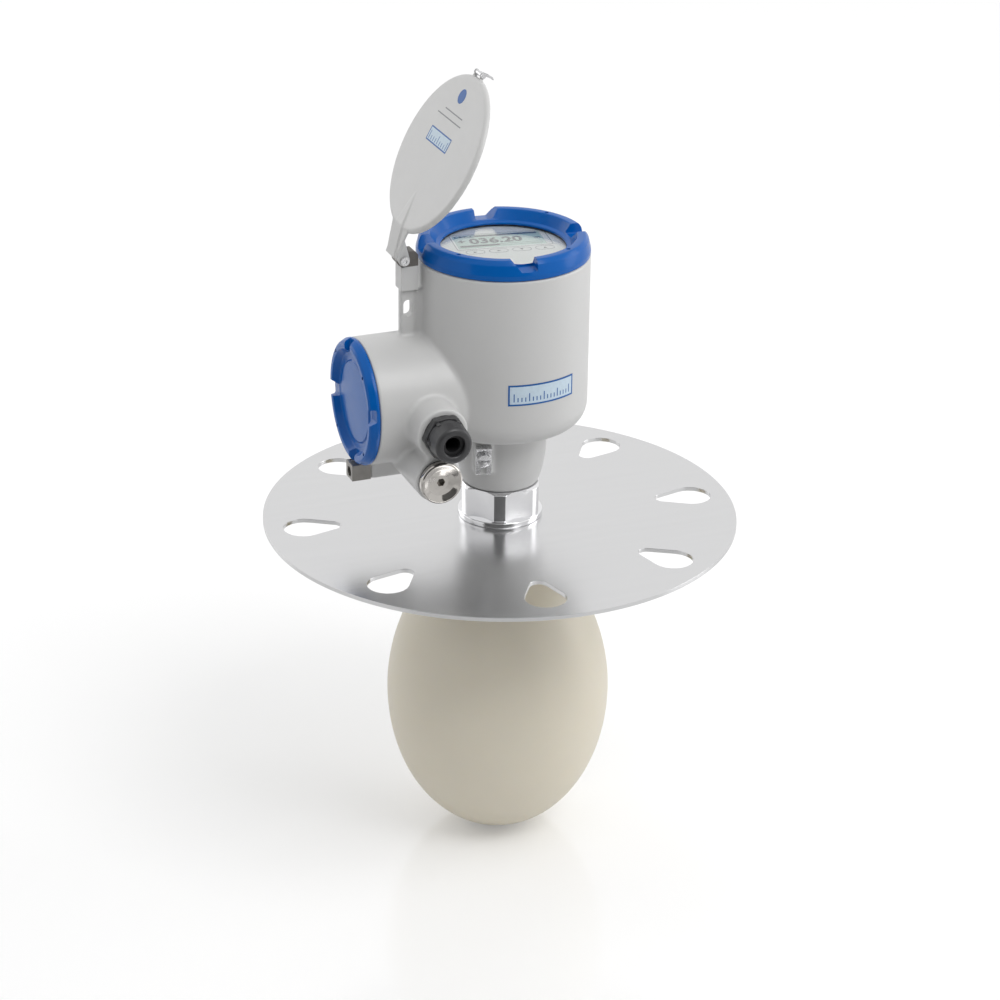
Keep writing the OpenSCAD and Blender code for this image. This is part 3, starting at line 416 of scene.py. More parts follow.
def filleted(corners, closed=False, steps=4):
    """Points of an outline whose corners, given as (x, y, fillet), are rounded."""
    points = []
    for i, (x, y, fillet) in enumerate(corners):
        corner = Vector((x, y))
        is_end = not closed and i in (0, len(corners) - 1)
        if is_end or not fillet:
            points.append(corner)
            continue
        back = Vector(corners[i - 1][:2]) - corner
        ahead = Vector(corners[(i + 1) % len(corners)][:2]) - corner
        reach = fillet / math.tan(back.angle(ahead) / 2)
        start = corner + back.normalized() * min(reach, 0.48 * back.length)
        end = corner + ahead.normalized() * min(reach, 0.48 * ahead.length)
        pull = math.sin(back.angle(ahead) / 2)
        for k in range(steps + 1):
            t = k / steps
            weights = ((1 - t) ** 2, 2 * t * (1 - t) * pull, t**2)
            points.append((start * weights[0] + corner * weights[1] + end * weights[2]) / sum(weights))
    return points


def turned(points, closed=False, steps=160, place=Matrix()):
    """A solid of revolution: the points, as (radius, height), spun about Z, then put in place."""
    mesh = bmesh.new()
    verts = [mesh.verts.new((point[0], 0, point[1])) for point in points]
    pairs = list(zip(verts, verts[1:]))
    if closed:
        pairs.append((verts[-1], verts[0]))
    edges = [mesh.edges.new(pair) for pair in pairs]
    bmesh.ops.spin(
        mesh, geom=verts + edges, axis=(0, 0, 1), cent=(0, 0, 0), angle=math.tau, steps=steps, use_merge=True
    )
    bmesh.ops.remove_doubles(mesh, verts=mesh.verts, dist=1e-7)
    return pointed_out(mesh, place)


def prism(points, low, high, place=Matrix()):
    """The outline's points, as (x, y), extruded from low to high along Z, then put in place."""
    mesh = bmesh.new()
    face = mesh.faces.new([mesh.verts.new((point[0], point[1], low)) for point in points])
    made = bmesh.ops.extrude_face_region(mesh, geom=[face])["geom"]
    top = [part for part in made if isinstance(part, bmesh.types.BMVert)]
    bmesh.ops.translate(mesh, verts=top, vec=(0, 0, high - low))
    return pointed_out(mesh, place)


def block(low, high, place=Matrix(), round_r=0.0):
    """A box between two corners, its edges rounded."""
    mesh = bmesh.new()
    bmesh.ops.create_cube(mesh, size=1)
    low, high = Vector(low), Vector(high)
    bmesh.ops.scale(mesh, verts=mesh.verts, vec=high - low)
    bmesh.ops.translate(mesh, verts=mesh.verts, vec=(low + high) / 2)
    if round_r:
        bevelled(mesh, mesh.edges[:], round_r)
    return pointed_out(mesh, place)


def rod(radius, low, high, place=Matrix(), steps=48, edge=0.0):
    """A cylinder along Z, its rims rounded by edge."""
    corners = [(0, low, 0), (radius, low, edge), (radius, high, edge), (0, high, 0)]
    return turned(filleted(corners), steps=steps, place=place)


def rectangle(x, y, w, h, fillet=0.0):
    """Corners of a rectangle centred on x, y."""
    return [(x + sx * w / 2, y + sy * h / 2, fillet) for sx, sy in ((-1, -1), (1, -1), (1, 1), (-1, 1))]


def hexagon(across, turn=0.0):
    """The corners of a hexagon that is across wide between its flats."""
    radius = across / 2 / math.cos(math.pi / 6)
    angles = [turn + k * math.pi / 3 for k in range(6)]
    return [(radius * math.cos(a), radius * math.sin(a)) for a in angles]


def helix(radius, depth, pitch, low, high, place=Matrix()):
    """A thread's ridge from low to high on a shank of that radius."""
    turns = (high - low) / pitch - 1
    mesh = bmesh.new()
    foot = radius - depth
    section = [(foot, 0), (radius, 0.35 * pitch), (radius, 0.5 * pitch), (foot, 0.85 * pitch)]
    verts = [mesh.verts.new((r, 0, low + z)) for r, z in section]
    edges = [mesh.edges.new((verts[i - 1], verts[i])) for i in range(4)]
    steps = int(turns * 48)
    bmesh.ops.spin(
        mesh, geom=verts + edges, axis=(0, 0, 1), cent=(0, 0, 0), dvec=(0, 0, turns * pitch / steps),
        angle=math.tau * turns, steps=steps,
    )
    bmesh.ops.holes_fill(mesh, edges=mesh.edges, sides=4)
    return pointed_out(mesh, place)


def bevelled(mesh, edges, offset, segments=3):
    """Rounds the edges of a mesh."""
    bmesh.ops.bevel(
        mesh, geom=edges, offset=offset, segments=segments, profile=0.5, affect="EDGES", material=-1,
        clamp_overlap=True,
    )
    return mesh


def sharp_edges(mesh, angle=math.radians(30)):
    """The edges at which a mesh turns by more than the angle."""
    mesh.normal_update()
    return [e for e in mesh.edges if len(e.link_faces) == 2 and e.calc_face_angle(0) > angle]


def pointed_out(mesh, place):
    """Turns the faces outwards and puts the mesh in place."""
    bmesh.ops.recalc_face_normals(mesh, faces=mesh.faces)
    mesh.transform(place)
    return mesh


def joined(*meshes):
    """One mesh of several."""
    whole = meshes[0]
    for other in meshes[1:]:
        spare = bpy.data.meshes.new("spare")
        other.to_mesh(spare)
        other.free()
        whole.from_mesh(spare)
        bpy.data.meshes.remove(spare)
    return whole


def as_object(name, mesh):
    """An object that holds the mesh, at the origin."""
    data = bpy.data.meshes.new(name)
    mesh.to_mesh(data)
    mesh.free()
    made = bpy.data.objects.new(name, data)
    bpy.context.scene.collection.objects.link(made)
    return made


def settle(made):
    """Applies an object's modifiers to its mesh."""
    graph = bpy.context.evaluated_depsgraph_get()
    mesh = bpy.data.meshes.new_from_object(made.evaluated_get(graph), depsgraph=graph)
    made.modifiers.clear()
    made.data = mesh
    return made


def modifier(made, kind, **values):
    """Adds a modifier with its settings."""
    added = made.modifiers.new(kind.lower(), kind)
    for key, value in values.items():
        setattr(added, key, value)
    return made


def remeshed(made, voxel, fillet=0.0, smooth=4, keep=1.0):
    """Melts overlapping shells into one skin: inner corners get a fillet, outer edges soften."""
    modifier(made, "REMESH", mode="VOXEL", voxel_size=voxel, adaptivity=0.0)
    if fillet:
        modifier(made, "DISPLACE", strength=fillet, mid_level=0.0)
        modifier(made, "REMESH", mode="VOXEL", voxel_size=voxel, adaptivity=0.0)
        modifier(made, "DISPLACE", strength=-fillet, mid_level=0.0)
        modifier(made, "REMESH", mode="VOXEL", voxel_size=voxel, adaptivity=0.0)
    modifier(made, "SMOOTH", factor=0.5, iterations=smooth)
    if keep < 1:
        modifier(made, "DECIMATE", ratio=keep)
    return settle(made)


def softened(made, width, segments=3, angle=30):
    """Rounds an object's sharp edges."""
    limit = math.radians(angle)
    modifier(made, "BEVEL", width=width, segments=segments, limit_method="ANGLE", angle_limit=limit)
    return settle(made)


def cut(made, *cutters):
    """Cuts each mesh out of the object."""
    for mesh in cutters:
        tool = as_object("cutter", mesh)
        modifier(made, "BOOLEAN", operation="DIFFERENCE", solver="MANIFOLD", object=tool)
        settle(made)
        bpy.data.objects.remove(tool)
    return made


def finished(made, finish, body, slot=None, replaces=(), angle=35):
    """Gives a piece its finish, its shading and the body that carries it."""
    made.data.materials.clear()
    made.data.materials.append(FINISH[finish].material)
    made.data.shade_smooth()
    made.data.set_sharp_from_angle(angle=math.radians(angle))
    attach(made, body)
    slot or finish
    if replaces:
        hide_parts(*replaces)
    return made


def copy_of(node):
    """A merged copy of a CAD node's mesh."""
    mesh = bmesh.new()
    mesh.from_mesh(frame["nodes"][node].data)
    bmesh.ops.remove_doubles(mesh, verts=mesh.verts, dist=1e-6)
    return as_object("dressed_" + node, mesh)


# ------------------------------------------------------------------ flange plate and antenna


def slot_outline(turn, steps=14):
    """Points round a slot that narrows towards the axis."""
    lean = math.asin((SLOT_WIDE[1] - SLOT_NARROW[1]) / (SLOT_WIDE[0] - SLOT_NARROW[0]))
    points = []
    for (at, radius), start, end in (
        (SLOT_WIDE, -math.pi / 2 - lean, math.pi / 2 + lean),
        (SLOT_NARROW, math.pi / 2 + lean, 3 * math.pi / 2 - lean),
    ):
        for k in range(steps + 1):
            a = start + (end - start) * k / steps
            x, y = at + radius * math.cos(a), radius * math.sin(a)
            points.append((x * math.cos(turn) - y * math.sin(turn), x * math.sin(turn) + y * math.cos(turn)))
    return points


def circle_outline(radius, steps):
    """Points round a circle."""
    angles = [k * math.tau / steps for k in range(steps)]
    return [(radius * math.cos(a), radius * math.sin(a)) for a in angles]


def make_plate():
    """Laser-cut plate with its slots; all edges are broken."""
    mesh = bmesh.new()
    outlines = [circle_outline(PLATE_R, 240), circle_outline(PLATE_BORE_R, 64)]
    outlines += [slot_outline(SLOT_TURN + k * math.tau / SLOT_COUNT) for k in range(SLOT_COUNT)]
    for outline in outlines:
        verts = [mesh.verts.new((x, y, 0)) for x, y in outline]
        for pair in zip(verts, verts[1:] + verts[:1]):
            mesh.edges.new(pair)
    bmesh.ops.triangle_fill(mesh, edges=mesh.edges[:], use_beauty=True, use_dissolve=False)
    made = bmesh.ops.extrude_face_region(mesh, geom=mesh.faces[:])["geom"]
    top = [part for part in made if isinstance(part, bmesh.types.BMVert)]
    bmesh.ops.translate(mesh, verts=top, vec=(0, 0, PLATE_T))
    pointed_out(mesh, Matrix())
    bevelled(mesh, sharp_edges(mesh, math.radians(60)), 0.2 * MM, 2)
    finished(as_object("plate", mesh), "brushed_plate", "transmitter", replaces=["flange_plate"], angle=20)


def make_drop():
    """Turned antenna: its own flange under the plate, a stem, a shoulder and a nose."""
    end = (1 - ((STEM_R + 1 * MM) / DROP_R) ** SHOULDER_ROUNDNESS) ** (1 / SHOULDER_ROUNDNESS)
    head = filleted([
        (PLATE_BORE_R - 1 * MM, 0.5 * MM, 0),
        (ANTENNA_FLANGE_R, 0.5 * MM, 0.8 * MM),
        (ANTENNA_FLANGE_R, ANTENNA_FLANGE_Z, 1 * MM),
        (STEM_R, ANTENNA_FLANGE_Z, 6 * MM),
        (STEM_R, ANTENNA_FLANGE_Z - 8 * MM, 0),
    ], steps=6)
    shoulder = []
    for k in range(40, 0, -1):
        t = end * k / 40
        r = DROP_R * (1 - t**SHOULDER_ROUNDNESS) ** (1 / SHOULDER_ROUNDNESS)
        shoulder.append((r, DROP_WIDEST + SHOULDER_H * t))
    nose = []
    for k in range(49):
        t = math.sin(math.pi / 2 * k / 48)
        r = DROP_R * max(0, 1 - t**NOSE_ROUNDNESS) ** (1 / NOSE_ROUNDNESS)
        nose.append((r, DROP_WIDEST + (DROP_LOW - DROP_WIDEST) * t))
    mesh = turned(head + shoulder + nose, steps=192)
    bmesh.ops.holes_fill(mesh, edges=mesh.edges)
    drop = as_object("antenna", pointed_out(mesh, Matrix()))
    cut(drop, rod(12.05 * MM, -27.5 * MM, 5 * MM))
    finished(drop, "ivory_plastic", "transmitter", replaces=["antenna_drop"])


def make_connection():
    """Hexagon with turned corners over a collar, and the stud and spigot at its ends."""
    hexagon_part = as_object("nipple", prism(hexagon(HEX_AF, HEX_TURN), HEX_Z - 1 * MM, NECK_Z))
    turned_to = turned(filleted([
        (0, HEX_Z - 0.9 * MM, 0), (HEX_CORNER_R - 1.2 * MM, HEX_Z - 0.9 * MM, 0),
        (HEX_CORNER_R, HEX_Z + 1.2 * MM, 0.4 * MM),
        (HEX_CORNER_R, NECK_Z - 1.4 * MM, 0.4 * MM), (HEX_CORNER_R - 1.6 * MM, NECK_Z - 0.05 * MM, 0),
        (0, NECK_Z - 0.05 * MM, 0),
    ]))
    tool = as_object("tool", turned_to)
    modifier(hexagon_part, "BOOLEAN", operation="INTERSECT", solver="MANIFOLD", object=tool)
    softened(settle(hexagon_part), 0.25 * MM, angle=25)
    bpy.data.objects.remove(tool)
    finished(hexagon_part, "polished_steel", "transmitter", replaces=["process_connection"])
    collar = turned(filleted([
        (12 * MM, -23.5 * MM, 0.6 * MM), (12 * MM, COLLAR_Z, 0), (COLLAR_R, COLLAR_Z, 0.5 * MM),
        (COLLAR_R, HEX_Z, 0.6 * MM), (SPIGOT_R, HEX_Z, 0), (SPIGOT_R, NECK_Z + 20 * MM, 0.5 * MM),
        (5.05 * MM, NECK_Z + 20 * MM, 0), (5.05 * MM, -23.5 * MM, 0),
    ], closed=True), closed=True)
    finished(as_object("nipple_collar", collar), "polished_steel", "transmitter")


# ------------------------------------------------------------------ housing


def domed(radius, rim_z, height, count):
    """Points of a dome, from its pole up to just below its rim at rim_z."""
    angles = [k * math.pi / 2 / count for k in range(count)]
    return [(radius * math.sin(a), rim_z - height * math.cos(a)) for a in angles]


def boss(place, radius):
    """A cable entry's boss: domed at its root, flat at its face."""
    wall = filleted([(radius, radius, 0), (radius, ENTRY_FACE, 1.2 * MM), (0, ENTRY_FACE, 0)])
    return turned(domed(radius, radius, radius, 8) + wall, steps=72, place=entry(place))


def make_housing():
    """Casting with soft inner corners, then the machined rooms and mouths."""
    flare = ((NECK_TOP_Z - NECK_Z) ** 2 + (NECK_TOP_R - NECK_BASE_R) ** 2) / (2 * (NECK_TOP_R - NECK_BASE_R))
    lean = math.asin((NECK_TOP_Z - NECK_Z) / flare)
    neck = []
    for k in range(13):
        a = -lean * (1 - k / 12)
        neck.append((NECK_TOP_R - flare + flare * math.cos(a), NECK_TOP_Z + flare * math.sin(a), 0))
    body = turned(filleted(
        [(0, NECK_Z, 0)] + neck + [
            (NECK_TOP_R, SHOULDER_Z, 3 * MM), (BODY_R, SHOULDER_Z, SHOULDER_R),
            (BODY_R, BODY_TOP, 0.8 * MM), (0, BODY_TOP, 0),
        ], steps=10))
    tube_wall = filleted([(TUBE_R, TUBE_DOME_Z, 0), (TUBE_R, TUBE_END, 0.8 * MM), (0, TUBE_END, 0)])
    tube = turned(domed(TUBE_R, TUBE_DOME_Z, TUBE_DOME_H, 12) + tube_wall, place=TUBE)
    lug = joined(
        block((-64.2 * MM, -2.75 * MM, 118 * MM), (-55.4 * MM, 2.75 * MM, 153.6 * MM)),
        block((-62.2 * MM, -2 * MM, 150 * MM), (-55.4 * MM, 2 * MM, 167.1 * MM)),
        block((-56.4 * MM, -1.6 * MM, 118 * MM), (-48 * MM, 1.6 * MM, 151.6 * MM)),
    )
    pad = block((PAD_X - 5.3 * MM, -PAD_FACE, 39.5 * MM), (PAD_X + 5.3 * MM, -14 * MM, 60.5 * MM),
                Matrix.Rotation(PAD_TURN, 4, "Z"))
    rib = block((LOCK_X, -LOCK_W / 2, LOCK_Z - 5 * MM), (-58 * MM, LOCK_W / 2, 52.5 * MM))
    skin = joined(body, tube, boss(ENTRY_UPPER, BOSS_UPPER_R), boss(ENTRY_LOWER, BOSS_LOWER_R), pad, rib, lug)
    housing = remeshed(as_object("housing_casting", skin), 0.75 * MM, fillet=1.4 * MM, smooth=4, keep=0.5)

    room = turned(filleted([
        (0, ROOM_FLOOR, 0), (ROOM_R, ROOM_FLOOR, 1.5 * MM), (ROOM_R, 156 * MM, 0), (45.7 * MM, 157.5 * MM, 0),
        (45.7 * MM, 165.5 * MM, 0), (48.4 * MM, 165.5 * MM, 0.3 * MM), (48.4 * MM, 167.7 * MM, 0),
        (48.9 * MM, 172 * MM, 0), (0, 172 * MM, 0),
    ]))
    terminal_room = turned(filleted([
        (0, TUBE_BACK, 0), (TUBE_ROOM_R, TUBE_BACK, 1.5 * MM), (TUBE_ROOM_R, 80.1 * MM, 0),
        (33.3 * MM, 80.1 * MM, 0), (33.3 * MM, 86.1 * MM, 0), (36 * MM, 86.1 * MM, 0.3 * MM),
        (36 * MM, 88.3 * MM, 0), (36.4 * MM, 92 * MM, 0), (0, 92 * MM, 0),
    ]), place=TUBE)
    eye_outline = filleted(rectangle(0, 0, 5.6 * MM, 10.2 * MM, 2.7 * MM), closed=True, steps=8)
    eye = prism(eye_outline, -8 * MM, 8 * MM, entry((-59.8 * MM, 142.05 * MM)))
    lock_place = Matrix.Translation((LOCK_X, 0, 43.4 * MM)) @ Matrix.Rotation(-math.pi / 2, 4, "Y")
    cut(
        housing, room, terminal_room, eye,
        rod(ENTRY_R, 22 * MM, 60 * MM, entry(ENTRY_UPPER), 64),
        rod(ENTRY_R, 14 * MM, 60 * MM, entry(ENTRY_LOWER), 64),
        rod(SPIGOT_R + FIT, 20 * MM, 46 * MM),
        rod(7 * MM, 44 * MM, 95 * MM),
        rod(2.55 * MM, PAD_FACE - 9 * MM, PAD_FACE + 6 * MM, EARTH, 24),
        rod(1.55 * MM, -8 * MM, 6 * MM, lock_place, 24),
        rod(4 * MM, 42 * MM, 72 * MM, Matrix.Translation((0, 0, 12 * MM)) @ TUBE, 24),
    )
    finished(housing, "grey_paint", "transmitter", replaces=["housing"])


# ------------------------------------------------------------------ covers


def notch_cutters(inner, outer, low, high, floor_w, ramp, place):
    """Cutters of a cover's notches: one side steep, the other a ramp."""
    side = floor_w / 2
    outline = [(-side, low, 1.2 * MM), (side, low, 1.2 * MM), (side, high, 0), (-side - ramp, high, 0)]
    stood = Matrix.Rotation(math.pi / 2, 4, "Z") @ Matrix.Rotation(math.pi / 2, 4, "X")
    for k in range(RIM_COUNT):
        turn = Matrix.Rotation(k * math.tau / RIM_COUNT, 4, "Z")
        lie = Matrix.Translation((inner, 0, 0)) @ stood
        yield prism(filleted(outline, closed=True), 0, outer - inner, place @ turn @ lie)


def spanner_places(place, radius, top):
    """Frames of a cover's spanner holes, at that radius in its top face."""
    at = Matrix.Translation((radius, 0, top))
    turns = [k * math.tau / RIM_COUNT + HOLE_SHIFT for k in range(RIM_COUNT)]
    return [place @ Matrix.Rotation(turn, 4, "Z") @ at for turn in turns]


def make_display_cover():
    """Painted cover ring: castellated rim, spanner holes, window lip, threaded skirt."""
    rim = turned(filleted([
        (COVER_SKIRT_R, COVER_Z, 0), (BODY_R, COVER_Z, 0.5 * MM), (BODY_R, COVER_Z + 3 * MM, 3 * MM),
        (BODY_R - 1.4 * MM, COVER_TOP - 2.6 * MM, 2 * MM), (BODY_R - 3.2 * MM, COVER_TOP, 1.6 * MM),
        (BODY_R - 8 * MM, COVER_TOP, 1.2 * MM), (WINDOW_R + 2.6 * MM, GLASS_TOP + 2.2 * MM, 0.8 * MM),
        (WINDOW_R, GLASS_TOP + 1.6 * MM, 0.8 * MM), (WINDOW_R, GLASS_TOP + 0.4 * MM, 0),
        (WINDOW_R + 2.6 * MM, GLASS_TOP + 0.4 * MM, 0), (WINDOW_R + 2.6 * MM, GLASS_TOP - 5.8 * MM, 0),
        (40.2 * MM, GLASS_TOP - 6.3 * MM, 0), (40.2 * MM, COVER_Z - 10 * MM, 0.3 * MM),
        (COVER_SKIRT_R - 0.35 * MM, COVER_Z - 10 * MM, 0.8 * MM), (COVER_SKIRT_R - 0.35 * MM, COVER_Z, 0),
    ], closed=True), closed=True, place=COVER)
    cover = as_object("display_cover_ring", rim)
    inner, outer = WINDOW_R + 3 * MM, BODY_R + 2 * MM
    low, high = COVER_TOP - 6.4 * MM, COVER_TOP + 2 * MM
    cut(cover, *notch_cutters(inner, outer, low, high, 9.5 * MM, 6.5 * MM, COVER))
    softened(cover, 0.55 * MM)
    hole = filleted([
        (0, -2.4 * MM, 0), (1.2 * MM, -2.4 * MM, 0), (1.2 * MM, -0.35 * MM, 0), (1.9 * MM, 0.6 * MM, 0),
        (0, 0.6 * MM, 0),
    ])
    places = spanner_places(COVER, BODY_R - 6 * MM, COVER_TOP)
    cut(cover, *[turned(hole, steps=24, place=at) for at in places])
    finished(cover, "blue_paint", "display_cover", replaces=["display_cover"])
    low, high = COVER_Z - 9.6 * MM, COVER_Z - 0.8 * MM
    thread = helix(COVER_SKIRT_R + 0.1 * MM, COVER_RIDGE, COVER_PITCH, low, high)
    finished(as_object("display_cover_thread", thread), "blue_paint", "display_cover")


def make_terminal_cover():
    """Painted blind cover: the same rim round a raised disc."""
    seat, top = TCOVER_AT, TCOVER_END
    skirt_r = TCOVER_SKIRT_R - 0.35 * MM
    disc = turned(filleted([
        (0, seat - 1.4 * MM, 0), (29 * MM, seat - 1.4 * MM, 1 * MM), (29 * MM, seat - 8 * MM, 0.4 * MM),
        (skirt_r, seat - 8 * MM, 0.8 * MM), (skirt_r, seat, 0), (TUBE_R, seat, 0.4 * MM),
        (TUBE_R, seat + 2 * MM, 2 * MM), (TUBE_R - 1.6 * MM, top - 0.9 * MM, 1.2 * MM),
        (TUBE_R - 3 * MM, top, 1 * MM), (TUBE_R - 6 * MM, top, 1 * MM),
        (TUBE_R - 8.5 * MM, seat + 2 * MM, 0.8 * MM), (TUBE_R - 10 * MM, seat + 1.8 * MM, 0.5 * MM),
        (TUBE_R - 13 * MM, seat + 1.8 * MM, 0.5 * MM), (TUBE_R - 14 * MM, seat + 2.6 * MM, 0.8 * MM),
        (0, seat + 2.6 * MM, 0),
    ]), place=TCOVER)
    cover = as_object("terminal_cover_disc", disc)
    inner, outer = TUBE_R - 8.6 * MM, TUBE_R + 2 * MM
    cut(cover, *notch_cutters(inner, outer, top - 3.9 * MM, top + 2 * MM, 7 * MM, 4 * MM, TCOVER))
    softened(cover, 0.45 * MM)
    places = spanner_places(TCOVER, TUBE_R - 4.4 * MM, top)
    cut(cover, *[rod(1.1 * MM, -2 * MM, 1 * MM, at, 24) for at in places])
    finished(cover, "blue_paint", "terminal_cover", replaces=["terminal_cover"])
    low, high = seat - 7.6 * MM, seat - 0.8 * MM
    thread = helix(TCOVER_SKIRT_R + 0.1 * MM, COVER_RIDGE, COVER_PITCH, low, high, TUBE)
    finished(as_object("terminal_cover_thread", thread), "blue_paint", "terminal_cover")


# ------------------------------------------------------------------ display face


def print_patch(name, corners, finish, body="transmitter", low=PANEL_TOP, high=PANEL_TOP + PRINT_T,
                place=DISPLAY, slot="display_plastic"):
    """A thin printed shape from its corners, as (x, y, fillet)."""
    patch = prism(filleted(corners, closed=True), low, high, place)
    return finished(as_object(name, patch), finish, body, slot)


def frame_line(name, x, y, w, h, fillet, line, finish, low=PANEL_TOP, place=DISPLAY, body="transmitter",
               slot="display_plastic"):
    """A printed outline of a rectangle or oval."""
    outside = rectangle(x, y, w, h, fillet)
    inside = rectangle(x, y, w - 2 * line, h - 2 * line, max(fillet - line, 0))
    outline = as_object(name, prism(filleted(outside, True, 6), low, low + PRINT_T, place))
    cut(outline, prism(filleted(inside, True, 6), low - 1 * MM, low + 1 * MM, place))
    return finished(outline, finish, body, slot)


def words(name, text, size, x, y, bold, finish, z=PANEL_TOP):
    """Display digits as thin raised shapes."""
    curve = bpy.data.curves.new(name, "FONT")
    curve.body = text
    curve.size = size
    curve.offset = bold
    curve.extrude = 0.03 * MM
    curve.resolution_u = 4
    maker = bpy.data.objects.new(name + "_maker", curve)
    bpy.context.scene.collection.objects.link(maker)
    graph = bpy.context.evaluated_depsgraph_get()
    mesh = bpy.data.meshes.new_from_object(maker.evaluated_get(graph), depsgraph=graph)
    bpy.data.objects.remove(maker)
    mesh.transform(DISPLAY @ Matrix.Translation((x, y, z + 0.03 * MM)))
    made = bpy.data.objects.new(name, mesh)
    bpy.context.scene.collection.objects.link(made)
    return finished(made, finish, "transmitter", "display_plastic")


def make_display():
    """Printed film round the panel, and what the panel shows."""
    frame_line("panel_frame", 1.6 * MM, 12.9 * MM, 57.5 * MM, 25.6 * MM, 1.6 * MM, 0.45 * MM, "ink_grey",
               low=OVER_FILM_Z)
    print_patch("status_bar", rectangle(0.4 * MM, 22.4 * MM, 49.5 * MM, 2.3 * MM), "ink_black")
    for k, width in enumerate((2.2, 1.4, 2.6, 1.8)):
        mark = rectangle((-22.4 + 3.1 * k) * MM, 22.4 * MM, width * MM, 1.1 * MM)
        print_patch(f"status_mark_{k + 1}", mark, "lcd", low=PANEL_TOP + PRINT_T, high=PANEL_TOP + 0.1 * MM)
    words("reading_sign", "+", 8 * MM, -24 * MM, 12 * MM, 0.3 * MM, "ink_black")
    words("reading", "036.20", 11.6 * MM, -17 * MM, 10.2 * MM, 0.38 * MM, "ink_black")
    words("reading_unit", "m", 5 * MM, 21.8 * MM, 12.6 * MM, 0.14 * MM, "ink_black")
    frame_line("bar_frame", 0.4 * MM, 6.2 * MM, 49 * MM, 2.6 * MM, 0, 0.22 * MM, "ink_black")
    print_patch("bar_level", rectangle(-12.2 * MM, 6.2 * MM, 23.4 * MM, 1.7 * MM), "ink_black")
    key_y, key_pitch, key_x0 = -4.6 * MM, 13.8 * MM, -17.6 * MM
    for k in range(4):
        x = key_x0 + k * key_pitch
        frame_line(f"key_{k + 1}", x, key_y, 11.4 * MM, 6.2 * MM, 3 * MM, 0.4 * MM, "ink_grey",
                   low=OVER_FILM_Z)
    arrow = 1.1 * MM
    signs = {
        "right": [(-arrow, -arrow), (arrow, 0), (-arrow, arrow)],
        "down": [(-arrow, arrow), (0, -arrow), (arrow, arrow)],
        "up": [(-arrow, -arrow), (arrow, -arrow), (0, arrow)],
        "enter": [(-arrow, 0), (0, -arrow), (0, -0.3 * arrow), (arrow, -0.3 * arrow), (arrow, 0.3 * arrow),
                  (0, 0.3 * arrow), (0, arrow)],
    }
    for k, sign in enumerate(("right", "enter", "down", "up")):
        x = key_x0 + k * key_pitch
        print_patch(f"key_sign_{sign}", [(x + a, key_y + b, 0) for a, b in signs[sign]], "ink_black",
                    low=OVER_FILM_Z, high=OVER_FILM_Z + PRINT_T)


# ------------------------------------------------------------------ labels


def band(inner, outer, low, high):
    """A strip that lies round the body, as wide as the label."""
    strip = bmesh.new()
    section = ((inner, low), (outer, low), (outer, high), (inner, high))
    verts = [strip.verts.new((r, 0, z)) for r, z in section]
    edges = [strip.edges.new((verts[i - 1], verts[i])) for i in range(4)]
    bmesh.ops.spin(
        strip, geom=verts + edges, axis=(0, 0, 1), cent=(0, 0, 0), angle=2 * LABEL_HALF, steps=48
    )
    bmesh.ops.holes_fill(strip, edges=strip.edges, sides=4)
    return pointed_out(strip, Matrix.Rotation(LABEL_MIDDLE - LABEL_HALF, 4, "Z"))


def make_labels():
    """Plain framed label with a level scale on the housing."""
    inner, outer = BODY_R - 0.3 * MM, BODY_R + 0.12 * MM
    label = as_object("label", band(inner, outer, LABEL_LOW, LABEL_HIGH))
    finished(label, "label_film", "transmitter", "grey_paint")
    raised = outer + 0.05 * MM
    foot = LABEL_LOW + 2.4 * MM
    marks = []
    count = 17
    for k in range(count):
        turn = Matrix.Rotation(LABEL_MIDDLE + LABEL_HALF * 0.86 * (2 * k / (count - 1) - 1), 4, "Z")
        tall = 5 * MM if k % 4 == 0 else 2.6 * MM
        marks.append(block((BODY_R - 0.2 * MM, -0.3 * MM, foot), (raised, 0.3 * MM, foot + tall), turn))
    for low in (LABEL_LOW, LABEL_HIGH - FRAME_LINE):
        marks.append(band(inner, raised, low, low + FRAME_LINE))
    for end in (LABEL_MIDDLE - LABEL_HALF, LABEL_MIDDLE + LABEL_HALF):
        turn = Matrix.Rotation(end, 4, "Z")
        marks.append(block((inner, -FRAME_LINE / 2, LABEL_LOW), (raised, FRAME_LINE / 2, LABEL_HIGH), turn))
    finished(as_object("label_scale", joined(*marks)), "ink_blue", "transmitter", "grey_paint")


def on_lid(name, corners, finish, low, high):
    """A print on the lid, from low to high mm over its top face."""
    bottom, top = LID_TOP + low * MM, LID_TOP + high * MM
    return print_patch(name, corners, finish, "weather_lid", bottom, top, LID, "grey_paint")


